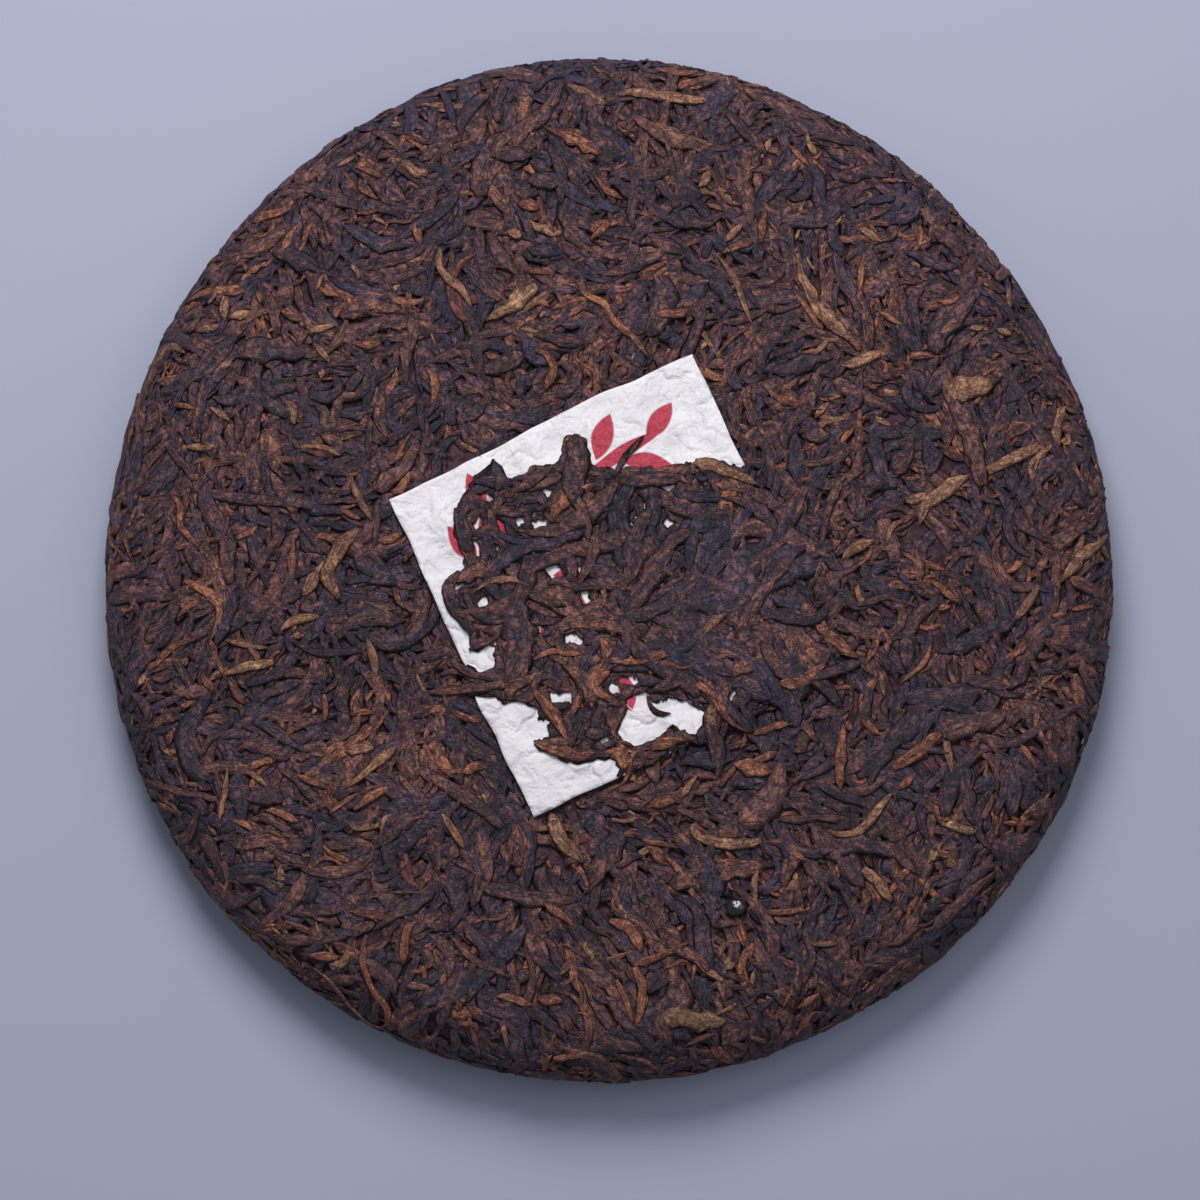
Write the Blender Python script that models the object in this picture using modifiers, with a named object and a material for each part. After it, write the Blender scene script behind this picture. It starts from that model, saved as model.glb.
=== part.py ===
"""Ripe pu-erh tea cake, lying on its back with the shown side up.

It is a pressed disc of tea leaves: a gently domed front, a rounded rim, a flat foot ring and a round dimple in
the back. The leaves that show are fused onto the disc. A square paper ticket lies in the front, and a crust of
leaves covers its middle and its right side. +Z is up, +Y is the top of the front as it is displayed, and the
origin is at the middle of the foot.
"""

import bisect
import math
import random

import bmesh
import bpy
from mathutils import Matrix, Vector, noise

MM = 0.001
TURN = 2 * math.pi

# Disc
CAKE_RADIUS = 99.5 * MM
FRONT_HEIGHT = 22.0 * MM
SHOULDER_RADIUS = 86.0 * MM
SHOULDER_HEIGHT = 19.4 * MM
RIM_HEIGHT = 8.5 * MM
FOOT_OUTER_RADIUS = 84.0 * MM
FOOT_INNER_RADIUS = 62.0 * MM
BACK_RAISE = 0.9 * MM
BACK_STEP = 4.0 * MM
DIMPLE_RADIUS = 28.0 * MM
DIMPLE_DEPTH = 11.0 * MM
OUTLINE_WAVES = ((2, 1.5 * MM, math.radians(90)), (3, 0.7 * MM, math.radians(100)))
TURNED_STEPS = 48
FRONT_RINGS = 7
ROUND_RINGS = 4
DIMPLE_RINGS = 5
BUMP_HEIGHT = 0.4 * MM
BUMP_LENGTH = 9.0 * MM
MERGE = 0.01 * MM

# Places on the front are read off it as it shows, from a little below its middle
SEEN_SCALE = 1.018
SEEN_SHIFT = (-0.4 * MM, 3.1 * MM)

# Paper ticket
TICKET_WIDTH = 65.8 * MM
TICKET_HEIGHT = 67.8 * MM
TICKET_TURN = math.radians(25.4)
TICKET_CENTRE = (1.3 * MM, -5.7 * MM)
TICKET_THICKNESS = 0.3 * MM
TICKET_CELLS = 10
TICKET_WRINKLE = 0.12 * MM
WRINKLE_LENGTH = 14.0 * MM
CLEARANCE = 0.3 * MM
SMOOTH_MARGIN = 8.0 * MM
BARE_MARGIN = 2.0 * MM

# Crust of leaves over the ticket, outlined in millimetres as it shows
CRUST_RISE = 1.5 * MM
CRUST_OUTLINE = (
    (30, 22), (24, 21), (16, 21), (4, 20.5), (-3, 20.5), (-4, 26), (-8, 26), (-10, 21), (-16, 20.5),
    (-21, 18.5), (-24, 21), (-28, 18.5), (-29, 15), (-31, 11), (-30.5, 4.5), (-29, 0), (-33, -2), (-33, -5),
    (-29, -10), (-27, -14), (-23, -15), (-22, -19.5), (-32, -17), (-38, -23), (-26, -24.5), (-18, -26),
    (-12, -30), (-15, -34), (-6, -37.5), (2, -37.5), (2, -42), (12, -46), (40, -33), (52, -22), (42, 8),
)
CRUST_WINDOW = ((1.5, -31.5), (3, -26), (7, -25), (14, -25.5), (18.5, -30), (17, -33), (12, -31), (6, -35))

# Leaves
LEAF_SIDES = 4
LEAF_RINGS = 4
LEAF_TWIST = math.pi / LEAF_SIDES
LEAF_CORNER = math.sqrt(2)
LEAF_THICKNESS = 2.8 * MM
LEAF_LIFT = -0.3 * MM
FLOOR_GAP = 0.25 * MM
DRAW_SEED = 8
FRONT_DRAWN = 64
RIM_DRAWN = 44
BACK_DRAWN = 26
LEAF_LENGTHS = (11 * MM, 21 * MM)
LEAF_WIDTHS = (2.8 * MM, 4.6 * MM)
LEAF_BEND = math.radians(55)
LEAF_SPACING = 7.5 * MM
LEAF_SPOTS = (-1, -0.5, 0, 0.5, 1)
BACK_LEAF_SCALE = 0.75
DRAW_TRIES = 60
FRONT_REACH = 0.98
RIM_REACH = (1.0, 1.36)
BACK_REACH = 54 * MM

# The leaves that stand out on the front: both ends, sideways bow and width, in millimetres as they show
SHOWN_LEAVES = (
    (38, 64.5, 50, 46, -3.0, 2.9), (-50, 9, -54, -6, 3.4, 3.6), (62, 10, 73, 19, -2.4, 4.2),
    (75, 21, 86, 25.5, 0, 3.0), (89.5, -2.5, 99, 8, 0, 3.2), (-23.5, 49.5, -14, 55.5, 0, 3.0),
    (-13.5, 87.5, -1.5, 82.5, 0.6, 3.4), (1.5, 95, 19.5, 94, -0.9, 2.6), (-11, -46.5, -5, -56.5, -1.8, 3.6),
    (-34.5, -41, -20.5, -50, 0, 3.0), (17, -53, 29.5, -52.5, 1.2, 2.4), (44.5, -44, 45.5, -30, 0, 2.8),
    (11, -87, 24, -87.5, 0, 4.6), (-83.5, -2.5, -78.5, -15, -4.2, 2.6), (-78.5, -15, -71.5, -26.5, 1.2, 2.4),
    (-82, 16.3, -62, 14, 0.4, 2.4), (-85, 25.5, -79, 25.5, 0, 3.0), (68, 41.5, 71, 35, 0, 3.8),
    (46, 2, 53, 6.5, -0.8, 3.2), (6, -77, 5, -88.5, -1.0, 2.4), (-53.5, -47, -40.5, -34.5, 0.6, 2.8),
    (-47, -70, -42.5, -86, 2.4, 2.4), (48, -52, 55, -44.5, 0.8, 2.4), (50, -58.5, 55, -64.5, 1.0, 2.8),
    (-63, -13.5, -48, -15.5, 4.2, 2.4), (42, 6, 46.5, 19, -1.2, 2.4), (-72, -2, -64.5, 9.5, 0.4, 2.4),
    (-66, -12, -57, -9, -1.4, 2.4), (38, -6.5, 42, 0.5, -1.4, 2.4), (1, -67.5, 6, -74.5, -1.2, 3.0),
    (-76, -49, -75, -39.5, 0, 2.4), (65, -50, 71.5, -51, 0, 2.8), (83, -44, 89, -47, 0, 4.0),
    (-45.5, 4.6, -40.5, 6.8, 0, 2.8), (-34.5, 64, -31, 57, 1.4, 2.4), (56, -38.5, 63, -33, 0, 2.8),
)

# Leaves of the crust that stick out over the paper or cross its edge
CRUST_LEAVES = (
    (0.5, 19, 7, 26.4, 0, 2.2), (-6.5, 15, -6, 26, 0, 5.2), (15, 21.5, 27, 20.5, 1.2, 3.2),
    (-24, 15, -24, 21, 0, 3.4), (-31, 13, -29.5, 1, 1.2, 3.2), (-31, -3, -26, -14, 1.6, 3.4),
    (-28, -16.5, -20, -12, 0, 2.6), (-33, -17.5, -15, -21, 2.6, 2.4), (-37, -24.5, -15, -21, 0.8, 2.8),
    (-15, -22, -7, -36, 0.6, 3.0), (-16, -33.5, -3, -36.5, 1.4, 3.0), (7, -23, 12, -28.5, 2.6, 1.8),
    (8, -24.6, 18, -20.5, 0, 2.6), (-18, 17, -11, 20.5, 0, 3.2), (2, -36, 14, -31.5, -1.4, 3.2),
)


def profile_points():
    """(radius, height) from the top of the dome over the rim to the top of the dimple."""
    points = []
    for i in range(FRONT_RINGS + 1):
        share = i / FRONT_RINGS
        points.append((SHOULDER_RADIUS * share, FRONT_HEIGHT - (FRONT_HEIGHT - SHOULDER_HEIGHT) * share**2))
    for i in range(1, ROUND_RINGS + 1):
        angle = math.pi / 2 * i / ROUND_RINGS
        reach = CAKE_RADIUS - SHOULDER_RADIUS
        drop = SHOULDER_HEIGHT - RIM_HEIGHT
        points.append((SHOULDER_RADIUS + reach * math.sin(angle), RIM_HEIGHT + drop * math.cos(angle)))
    for i in range(1, ROUND_RINGS + 1):
        angle = math.pi / 2 * i / ROUND_RINGS
        reach = CAKE_RADIUS - FOOT_OUTER_RADIUS
        points.append((FOOT_OUTER_RADIUS + reach * math.cos(angle), RIM_HEIGHT * (1 - math.sin(angle))))
    points.append((FOOT_INNER_RADIUS, 0))
    points.append((FOOT_INNER_RADIUS - BACK_STEP, BACK_RAISE))
    middle = (FOOT_INNER_RADIUS - BACK_STEP + DIMPLE_RADIUS) / 2
    points.append((middle, BACK_RAISE))
    for i in range(DIMPLE_RINGS + 1):
        share = i / DIMPLE_RINGS
        rise = (DIMPLE_DEPTH - BACK_RAISE) * (1 - math.cos(math.pi * share)) / 2
        points.append((DIMPLE_RADIUS * (1 - share), BACK_RAISE + rise))
    return points


PROFILE = profile_points()


def running_lengths(points):
    """Distance along the profile to each of its points."""
    lengths = [0.0]
    for (r0, z0), (r1, z1) in zip(points, points[1:]):
        lengths.append(lengths[-1] + math.hypot(r1 - r0, z1 - z0))
    return lengths


PROFILE_LENGTHS = running_lengths(PROFILE)
WHOLE_LENGTH = PROFILE_LENGTHS[-1]


def outline_factor(angle):
    """How far the rim departs from a circle at this angle, as a factor on the radius."""
    waves = sum(height * math.cos(count * (angle - peak)) for count, height, peak in OUTLINE_WAVES)
    return 1 + waves / CAKE_RADIUS


def on_surface(x, y, lift, front=True):
    """The point at this lift off the disc, for a place laid out flat from the middle of one side."""
    angle = math.atan2(y, x)
    along = min(math.hypot(x, y), WHOLE_LENGTH)
    along = along if front else WHOLE_LENGTH - along
    i = min(max(bisect.bisect_right(PROFILE_LENGTHS, along) - 1, 0), len(PROFILE) - 2)
    (r0, z0), (r1, z1) = PROFILE[i], PROFILE[i + 1]
    step = PROFILE_LENGTHS[i + 1] - PROFILE_LENGTHS[i]
    share = (along - PROFILE_LENGTHS[i]) / step
    out, up = (z0 - z1) / step, (r1 - r0) / step
    radius = (r0 + (r1 - r0) * share + lift * out) * outline_factor(angle)
    height = z0 + (z1 - z0) * share + lift * up
    return Vector((radius * math.cos(angle), radius * math.sin(angle), height))


def laid_out(x, y):
    """A place that shows at these millimetres, as a place on the flat layout."""
    return (x * MM - SEEN_SHIFT[0]) / SEEN_SCALE, (y * MM - SEEN_SHIFT[1]) / SEEN_SCALE


def linked(name, mesh, collection):
    obj = bpy.data.objects.new(name, mesh)
    collection.objects.link(obj)
    return obj


def applied(obj):
    """Gives obj the mesh that its modifiers make, and drops the modifiers."""
    bpy.context.view_layer.update()
    graph = bpy.context.evaluated_depsgraph_get()
    mesh = bpy.data.meshes.new_from_object(obj.evaluated_get(graph))
    old = obj.data
    obj.modifiers.clear()
    if obj.type == "CURVE":
        name, collection = obj.name, obj.users_collection[0]
        bpy.data.objects.remove(obj)
        obj = linked(name, mesh, collection)
    else:
        obj.data = mesh
        bpy.data.meshes.remove(old)
    return obj


def welded(obj):
    """Joins the caps of a mesh that came from a curve."""
    mesh = bmesh.new()
    mesh.from_mesh(obj.data)
    bmesh.ops.remove_doubles(mesh, verts=mesh.verts, dist=MERGE)
    mesh.to_mesh(obj.data)
    mesh.free()
    return obj


def in_ticket(x, y, margin=0.0):
    """Whether a point of the front lies on the ticket."""
    dx, dy = x - TICKET_CENTRE[0], y - TICKET_CENTRE[1]
    across = dx * math.cos(TICKET_TURN) + dy * math.sin(TICKET_TURN)
    upward = dy * math.cos(TICKET_TURN) - dx * math.sin(TICKET_TURN)
    return abs(across) < TICKET_WIDTH / 2 + margin and abs(upward) < TICKET_HEIGHT / 2 + margin


def inside(outline, x, y):
    """Whether a place on the flat layout lies inside an outline given as it shows."""
    points = [laid_out(*point) for point in outline]
    crossings = 0
    for (x0, y0), (x1, y1) in zip(points, points[1:] + points[:1]):
        if (y0 > y) != (y1 > y) and x < x0 + (x1 - x0) * (y - y0) / (y1 - y0):
            crossings += 1
    return crossings % 2 == 1


def in_crust(x, y):
    return inside(CRUST_OUTLINE, x, y) and not inside(CRUST_WINDOW, x, y)


def turned_disc(name, collection):
    """The disc before its leaves: the profile turned round +Z, made uneven in outline and in surface."""
    mesh = bpy.data.meshes.new(name)
    ends = range(len(PROFILE) - 1)
    mesh.from_pydata([(r, 0, z) for r, z in PROFILE], [(i, i + 1) for i in ends], [])
    obj = linked(name, mesh, collection)
    screw = obj.modifiers.new("turn", "SCREW")
    screw.axis = "Z"
    screw.steps = screw.render_steps = TURNED_STEPS
    screw.use_merge_vertices = True
    screw.merge_threshold = MERGE
    obj = applied(obj)
    for vertex in obj.data.vertices:
        vertex.co = uneven(vertex.co)
    return obj


def uneven(point):
    """A point of the round disc, moved to the real outline and given its share of the low bumps."""
    radius = math.hypot(point.x, point.y)
    factor = outline_factor(math.atan2(point.y, point.x))
    on_foot = point.z < MERGE
    flat = on_foot or in_ticket(point.x, point.y, SMOOTH_MARGIN) or radius < DIMPLE_RADIUS / 10
    bump = 0 if flat else BUMP_HEIGHT * noise.noise(point / BUMP_LENGTH)
    out = Vector((point.x, point.y, 0)).normalized() * bump if radius > SHOULDER_RADIUS else Vector()
    rise = bump if radius <= SHOULDER_RADIUS and point.z > RIM_HEIGHT else 0
    return Vector((point.x * factor, point.y * factor, point.z + rise)) + out


def leaf(name, start, end, bow, width, lift, front, collection):
    """A pressed leaf from start to end on the flat layout, bowed sideways and laid onto the disc."""
    shape = bmesh.new()
    bmesh.ops.create_uvsphere(shape, u_segments=LEAF_SIDES, v_segments=LEAF_RINGS, radius=1)
    middle = ((start[0] + end[0]) / 2, (start[1] + end[1]) / 2)
    dx, dy = end[0] - start[0], end[1] - start[1]
    length = math.hypot(dx, dy)
    bmesh.ops.rotate(shape, verts=shape.verts, matrix=Matrix.Rotation(LEAF_TWIST, 3, "Z"))
    for vertex in shape.verts:
        along, side, up = vertex.co.z, vertex.co.x * LEAF_CORNER, vertex.co.y * LEAF_CORNER
        sideways = side * width / 2 - bow * (1 - along**2)
        x = middle[0] + dx / 2 * along - dy / length * sideways
        y = middle[1] + dy / 2 * along + dx / length * sideways
        vertex.co = on_surface(x, y, lift + up * LEAF_THICKNESS / 2, front)
        vertex.co.z = max(vertex.co.z, FLOOR_GAP)
    bmesh.ops.recalc_face_normals(shape, faces=shape.faces)
    mesh = bpy.data.meshes.new(name)
    shape.to_mesh(mesh)
    shape.free()
    return linked(name, mesh, collection)


def add_shown_leaves(collection):
    """The leaves that stand out on the front, and those that lie over the paper."""
    on_disc = ("shown", SHOWN_LEAVES, LEAF_LIFT)
    on_crust = ("crust", CRUST_LEAVES, CRUST_RISE + LEAF_LIFT)
    for name, leaves, lift in (on_disc, on_crust):
        for i, (x0, y0, x1, y1, bow, width) in enumerate(leaves):
            ends = laid_out(x0, y0), laid_out(x1, y1)
            leaf(f"{name}_{i}", *ends, bow * MM, width * MM, lift, True, collection)


def drawn_place(draw, region):
    """A random place on the flat layout of the front or the back."""
    shoulder = PROFILE_LENGTHS[FRONT_RINGS]
    if region == "rim":
        along = shoulder * draw.uniform(*RIM_REACH)
    elif region == "front":
        along = shoulder * FRONT_REACH * math.sqrt(draw.random())
    else:
        along = BACK_REACH * math.sqrt(draw.random())
    angle = draw.uniform(0, TURN)
    return along * math.cos(angle), along * math.sin(angle)


def add_drawn_leaves(count, region, draw, taken, collection):
    """Leaves spread by a seeded draw, each clear of those already there and of the bare paper."""
    made = tries = 0
    while made < count and tries < DRAW_TRIES * count:
        tries += 1
        x, y = drawn_place(draw, region)
        heading = draw.uniform(0, TURN)
        length = draw.uniform(*LEAF_LENGTHS) * (BACK_LEAF_SCALE if region == "back" else 1)
        width = draw.uniform(*LEAF_WIDTHS)
        bow = length * math.tan(draw.uniform(-LEAF_BEND, LEAF_BEND) / 4)
        if any(math.hypot(x - px, y - py) < LEAF_SPACING for px, py in taken):
            continue
        dx, dy = math.cos(heading) * length / 2, math.sin(heading) * length / 2
        spots = [(x + dx * share, y + dy * share) for share in LEAF_SPOTS]
        lift = LEAF_LIFT
        if region == "front":
            covered = [in_crust(px, py) for px, py in spots]
            over_paper = [in_ticket(px, py, BARE_MARGIN) for px, py in spots]
            if any(paper and not leaves for paper, leaves in zip(over_paper, covered)):
                continue
            lift += CRUST_RISE if all(covered) else 0
        front = region != "back"
        name = f"{region}_{made}"
        leaf(name, spots[0], spots[-1], bow, width, lift, front, collection)
        taken.append((x, y))
        made += 1


def ticket_sheet(name, grow, thickness, collection):
    """The ticket's sheet, laid on the dome with low wrinkles. grow widens it on every side."""
    shape = bmesh.new()
    bmesh.ops.create_grid(shape, x_segments=TICKET_CELLS, y_segments=TICKET_CELLS, size=0.5)
    bmesh.ops.triangulate(shape, faces=shape.faces)
    for vertex in shape.verts:
        across = vertex.co.x * TICKET_WIDTH
        upward = vertex.co.y * TICKET_HEIGHT
        wrinkle = TICKET_WRINKLE * noise.noise(Vector((across, upward, 0)) / WRINKLE_LENGTH)
        across *= 1 + 2 * grow / TICKET_WIDTH
        upward *= 1 + 2 * grow / TICKET_HEIGHT
        x = TICKET_CENTRE[0] + across * math.cos(TICKET_TURN) - upward * math.sin(TICKET_TURN)
        y = TICKET_CENTRE[1] + across * math.sin(TICKET_TURN) + upward * math.cos(TICKET_TURN)
        vertex.co = on_surface(x, y, wrinkle)
    mesh = bpy.data.meshes.new(name)
    shape.to_mesh(mesh)
    shape.free()
    obj = linked(name, mesh, collection)
    solidify = obj.modifiers.new("paper", "SOLIDIFY")
    solidify.thickness = thickness
    solidify.offset = 0
    return applied(obj)


def crust(disc, collection):
    """The crust over the ticket: its outline, cut from a copy of the disc that is raised a little."""
    raised = linked("crust", disc.data.copy(), collection)
    for vertex in raised.data.vertices:
        vertex.co.z += CRUST_RISE
    curve = bpy.data.curves.new("crust_outline", "CURVE")
    curve.dimensions = "2D"
    curve.fill_mode = "BOTH"
    curve.extrude = FRONT_HEIGHT / 2
    for outline in (CRUST_OUTLINE, CRUST_WINDOW):
        spline = curve.splines.new("POLY")
        spline.points.add(len(outline) - 1)
        spline.use_cyclic_u = True
        for point, place in zip(spline.points, outline):
            point.co = (*laid_out(*place), 0, 1)
    cutter = linked("crust_outline", curve, collection)
    cutter.location.z = FRONT_HEIGHT
    bpy.context.view_layer.update()
    place = cutter.matrix_world.copy()
    cutter = welded(applied(cutter))
    cutter.data.transform(place)
    combine(raised, "INTERSECT", cutter)
    return raised


def combine(obj, operation, other):
    """One Boolean of obj with an object or with a whole collection, whose objects are then removed."""
    boolean = obj.modifiers.new("combine", "BOOLEAN")
    boolean.operation = operation
    boolean.solver = "EXACT"
    if isinstance(other, bpy.types.Collection):
        boolean.operand_type = "COLLECTION"
        boolean.collection = other
        used = list(other.objects)
    else:
        boolean.object = other
        used = [other]
    applied(obj)
    for each in used:
        bpy.data.objects.remove(each)


def bodies_of(mesh):
    """The faces of each body, where bodies that only touch along an edge count as two."""
    unseen = set(mesh.faces)
    bodies = []
    while unseen:
        stack = [unseen.pop()]
        body = list(stack)
        while stack:
            for edge in stack.pop().edges:
                if len(edge.link_faces) != 2:
                    continue
                for face in edge.link_faces:
                    if face in unseen:
                        unseen.remove(face)
                        body.append(face)
                        stack.append(face)
        bodies.append(body)
    return sorted(bodies, key=len)


def keep_largest_body(obj):
    """Drops loose scraps and fills sealed hollows, so that one body is left."""
    mesh = bmesh.new()
    mesh.from_mesh(obj.data)
    bmesh.ops.triangulate(mesh, faces=mesh.faces)
    scraps = [face for body in bodies_of(mesh)[:-1] for face in body]
    bmesh.ops.delete(mesh, geom=scraps, context="FACES")
    mesh.to_mesh(obj.data)
    mesh.free()


def middle_of(objects):
    """The middle of the objects' common box, seen from above."""
    points = [vertex.co for obj in objects for vertex in obj.data.vertices]
    xs = [point.x for point in points]
    ys = [point.y for point in points]
    return Vector(((min(xs) + max(xs)) / 2, (min(ys) + max(ys)) / 2, 0))


def finish(name, colour, roughness):
    """A plain Principled material."""
    material = bpy.data.materials.new(name)
    material.use_nodes = True
    shader = material.node_tree.nodes["Principled BSDF"]
    shader.inputs["Base Color"].default_value = (*colour, 1)
    shader.inputs["Roughness"].default_value = roughness
    shader.inputs["Metallic"].default_value = 0
    return material


def tea_cake(part, helpers):
    """The disc, the crust and every leaf as one solid, with room for the ticket."""
    disc = turned_disc("tea_cake", part)
    leaves = bpy.data.collections.new("leaves")
    bpy.context.scene.collection.children.link(leaves)
    crust(disc, leaves)
    add_shown_leaves(leaves)
    draw = random.Random(DRAW_SEED)
    placed = SHOWN_LEAVES + CRUST_LEAVES
    taken = [laid_out((x0 + x1) / 2, (y0 + y1) / 2) for x0, y0, x1, y1, _, _ in placed]
    add_drawn_leaves(FRONT_DRAWN, "front", draw, taken, leaves)
    add_drawn_leaves(RIM_DRAWN, "rim", draw, taken, leaves)
    add_drawn_leaves(BACK_DRAWN, "back", draw, [], leaves)
    combine(disc, "UNION", leaves)
    bpy.data.collections.remove(leaves)
    keep_largest_body(disc)
    room = ticket_sheet("ticket_room", CLEARANCE, TICKET_THICKNESS + 2 * CLEARANCE, helpers)
    combine(disc, "DIFFERENCE", room)
    keep_largest_body(disc)
    disc.data.materials.append(finish("pressed_tea", (0.062, 0.038, 0.032), 0.75))
    return disc


def main():
    for obj in list(bpy.data.objects):
        bpy.data.objects.remove(obj)
    part = bpy.data.collections.new("pu_erh_tea_cake")
    helpers = bpy.data.collections.new("cutters")
    bpy.context.scene.collection.children.link(part)
    bpy.context.scene.collection.children.link(helpers)
    cake = tea_cake(part, helpers)
    ticket = ticket_sheet("ticket", 0, TICKET_THICKNESS, part)
    ticket.data.materials.append(finish("ticket_paper", (0.78, 0.77, 0.78), 0.85))
    shift = middle_of([cake, ticket])
    for obj in (cake, ticket):
        for vertex in obj.data.vertices:
            vertex.co -= shift


main()
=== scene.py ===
"""Looks of the ripe pu-erh tea cake: pressed leaves, a paper ticket, pale floor, soft light and camera.

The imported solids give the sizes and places. A dark core with thousands of draped leaves over it stands for
the cake's solid, and a wrinkled sheet for the ticket's. Each side of the cake is laid out flat from its
middle, and the leaves are laid on a grid of heights over it, one after another. Lengths are in millimetres
until a mesh is made.
"""

import math

import bmesh
import bpy
import numpy as np
from mathutils import Matrix, Vector, noise


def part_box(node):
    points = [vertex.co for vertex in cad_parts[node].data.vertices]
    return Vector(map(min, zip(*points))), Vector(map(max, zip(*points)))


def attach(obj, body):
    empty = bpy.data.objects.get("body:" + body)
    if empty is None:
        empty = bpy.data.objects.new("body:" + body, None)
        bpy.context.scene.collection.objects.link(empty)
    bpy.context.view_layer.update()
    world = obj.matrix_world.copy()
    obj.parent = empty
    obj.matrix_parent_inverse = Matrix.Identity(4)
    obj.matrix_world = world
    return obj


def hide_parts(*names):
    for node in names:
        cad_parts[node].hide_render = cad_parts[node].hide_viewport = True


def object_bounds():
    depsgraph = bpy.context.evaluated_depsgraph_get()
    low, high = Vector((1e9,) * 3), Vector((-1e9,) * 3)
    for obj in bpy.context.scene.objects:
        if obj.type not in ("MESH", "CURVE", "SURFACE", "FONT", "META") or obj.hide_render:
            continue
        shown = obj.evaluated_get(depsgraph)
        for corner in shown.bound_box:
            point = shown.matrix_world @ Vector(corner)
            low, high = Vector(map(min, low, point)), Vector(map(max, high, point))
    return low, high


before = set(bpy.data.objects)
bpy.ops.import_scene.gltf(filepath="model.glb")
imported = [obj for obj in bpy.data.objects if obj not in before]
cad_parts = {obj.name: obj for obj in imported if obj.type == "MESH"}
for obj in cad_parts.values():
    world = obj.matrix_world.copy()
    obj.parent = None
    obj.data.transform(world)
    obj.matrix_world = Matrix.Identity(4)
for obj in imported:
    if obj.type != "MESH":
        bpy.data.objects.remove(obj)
CAD_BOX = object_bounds()

MM = 0.001
TURN = 2 * math.pi
SEED = 5

# Disc
CAKE_RADIUS = 99.5
FRONT_HEIGHT = 22.0
SHOULDER_RADIUS = 86.0
SHOULDER_HEIGHT = 19.4
RIM_HEIGHT = 8.5
FOOT_OUTER_RADIUS = 84.0
FOOT_INNER_RADIUS = 62.0
FOOT_SLOPE = 4.0
BACK_RAISE = 0.9
DIMPLE_RADIUS = 28.0
DIMPLE_DEPTH = 11.0
PROFILE_STEPS = 900
PROFILE_ROUNDING = 9
OUTLINE_WAVES = ((2, 1.5, math.radians(90)), (3, 0.7, math.radians(100)))
FLOOR_GAP = 0.05

# Core under the leaves
CORE_DEPTH = 1.2
CORE_END = 0.4
CORE_RINGS = 80
CORE_SIDES = 96

# Places on the front are read off it as it shows
SEEN_SCALE = 1.018
SEEN_SHIFT = (-0.4, 3.1)

# Ticket
TICKET_WIDTH = 65.8
TICKET_HEIGHT = 67.8
TICKET_TURN = math.radians(25.4)
TICKET_CENTRE = (1.3, -5.7)
TICKET_LIFT = 0.15
TICKET_THICKNESS = 0.12
TICKET_CELLS = 100
EDGE_WAVER = 0.5
PAPER_RELIEF = (-0.3, 0.22)
# Creases in the paper's shading: how many in 1 mm, and their height
PAPER_CREASES = ((0.12, 1.2), (0.26, 0.4))
# Printed twigs as places on the sheet, headings in degrees and sizes, then the strokes of one of size 1
PRINT_TWIGS = (
    (12, 22, 2, 1.15), (-19, 19, 60, 1.1), (-10, 1, 200, 0.8), (-12, -17, 120, 1.0), (9, -18, 20, 0.9),
)
PRINT_STROKES = (
    (0, 0, 17, 2.4, 4), (8, 2.2, 8, 3.8, 28), (3.4, -3.4, 9, 3.8, -30), (-1.4, 3.8, 8.5, 4, 44),
    (-5, -3.4, 8, 3.6, -42),
)

# Grid of heights over one side
CELL = 0.3
FRONT_REACH = 119.0
BACK_REACH = 112.0
# Owners of a place that no leaf covers
NOTHING = -1
PAPER = -2

# Heights over the disc to which the leaves are pressed
FIRST_LAYER = 0.55
FRONT_LIMIT = -0.42
BACK_LIMIT = -0.87
CRUST_LIMIT = 0.6
CRUST_MARGIN = 3.0
BUMP = 0.45
BUMP_SPACING = 9.0
RIM_DROP = 0.06
SOFT_LIMIT = 0.15
# Pressing holds the leaves to these distances above and below their limit, from flat places to loose ones
PRESSED_UP = (0.12, 0.3)
PRESSED_DOWN = (0.35, 0.7)
LOOSE_SPACING = 16.0
LOOSE_CONTRAST = 1.6
# The bed is sunk under the ticket, and the leaves on the ticket stay above its paper
UNDER_TICKET = 0.75
UNDER_MARGIN = 0.9
UNDER_EDGE = 1.6
PAPER_TOP = TICKET_LIFT + 0.1
OVER_PAPER = TICKET_LIFT + 0.15
GRID_OVER_PAPER = 0.05
LEAF_OVER_PAPER = 0.04

# A leaf's mesh: its line, the places across it and the last one under it, and its spacing along it
LINE_STEP = 0.35
BROAD_COLUMNS = np.array((-1, -0.5, 0, 0.5, 1, 0))
NARROW_COLUMNS = np.array((-1, -0.36, 0.36, 1, 0))
NARROW_LEAF = 2.4
KEEL_DEPTH = 0.2
FRONT_STEP = 2.0
BACK_STEP = 2.5
ROW_TURN = 0.6

# A leaf's form: its ends, its crown and grooves, how it drapes, and the size and spacing of what wanders
BLUNTNESS = (0.15, 0.6)
LEAN = 0.3
LEAST_END = 0.012
CROWN = 0.092
CROWN_SPREAD = 0.026
CROWN_FLATNESS = 2.8
GROOVE_DEPTH = (0.06, 0.17)
GROOVE_COUNT = (0.8, 1.8)
DRAPE_LENGTH = 4.0
MOST_SLOPE = 0.4
SLOPE_KEPT = 0.6
EDGE_WANDER = (0.22, 1.8)
EDGE_RANGE = (0.4, 1.6)
FOLD_WANDER = (0.4, 4)
GROOVE_WANDER = (0.9, 4)
WAVE_WANDER = (0.07, 2.2)
TILT_WANDER = (0.09, 3)

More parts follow.
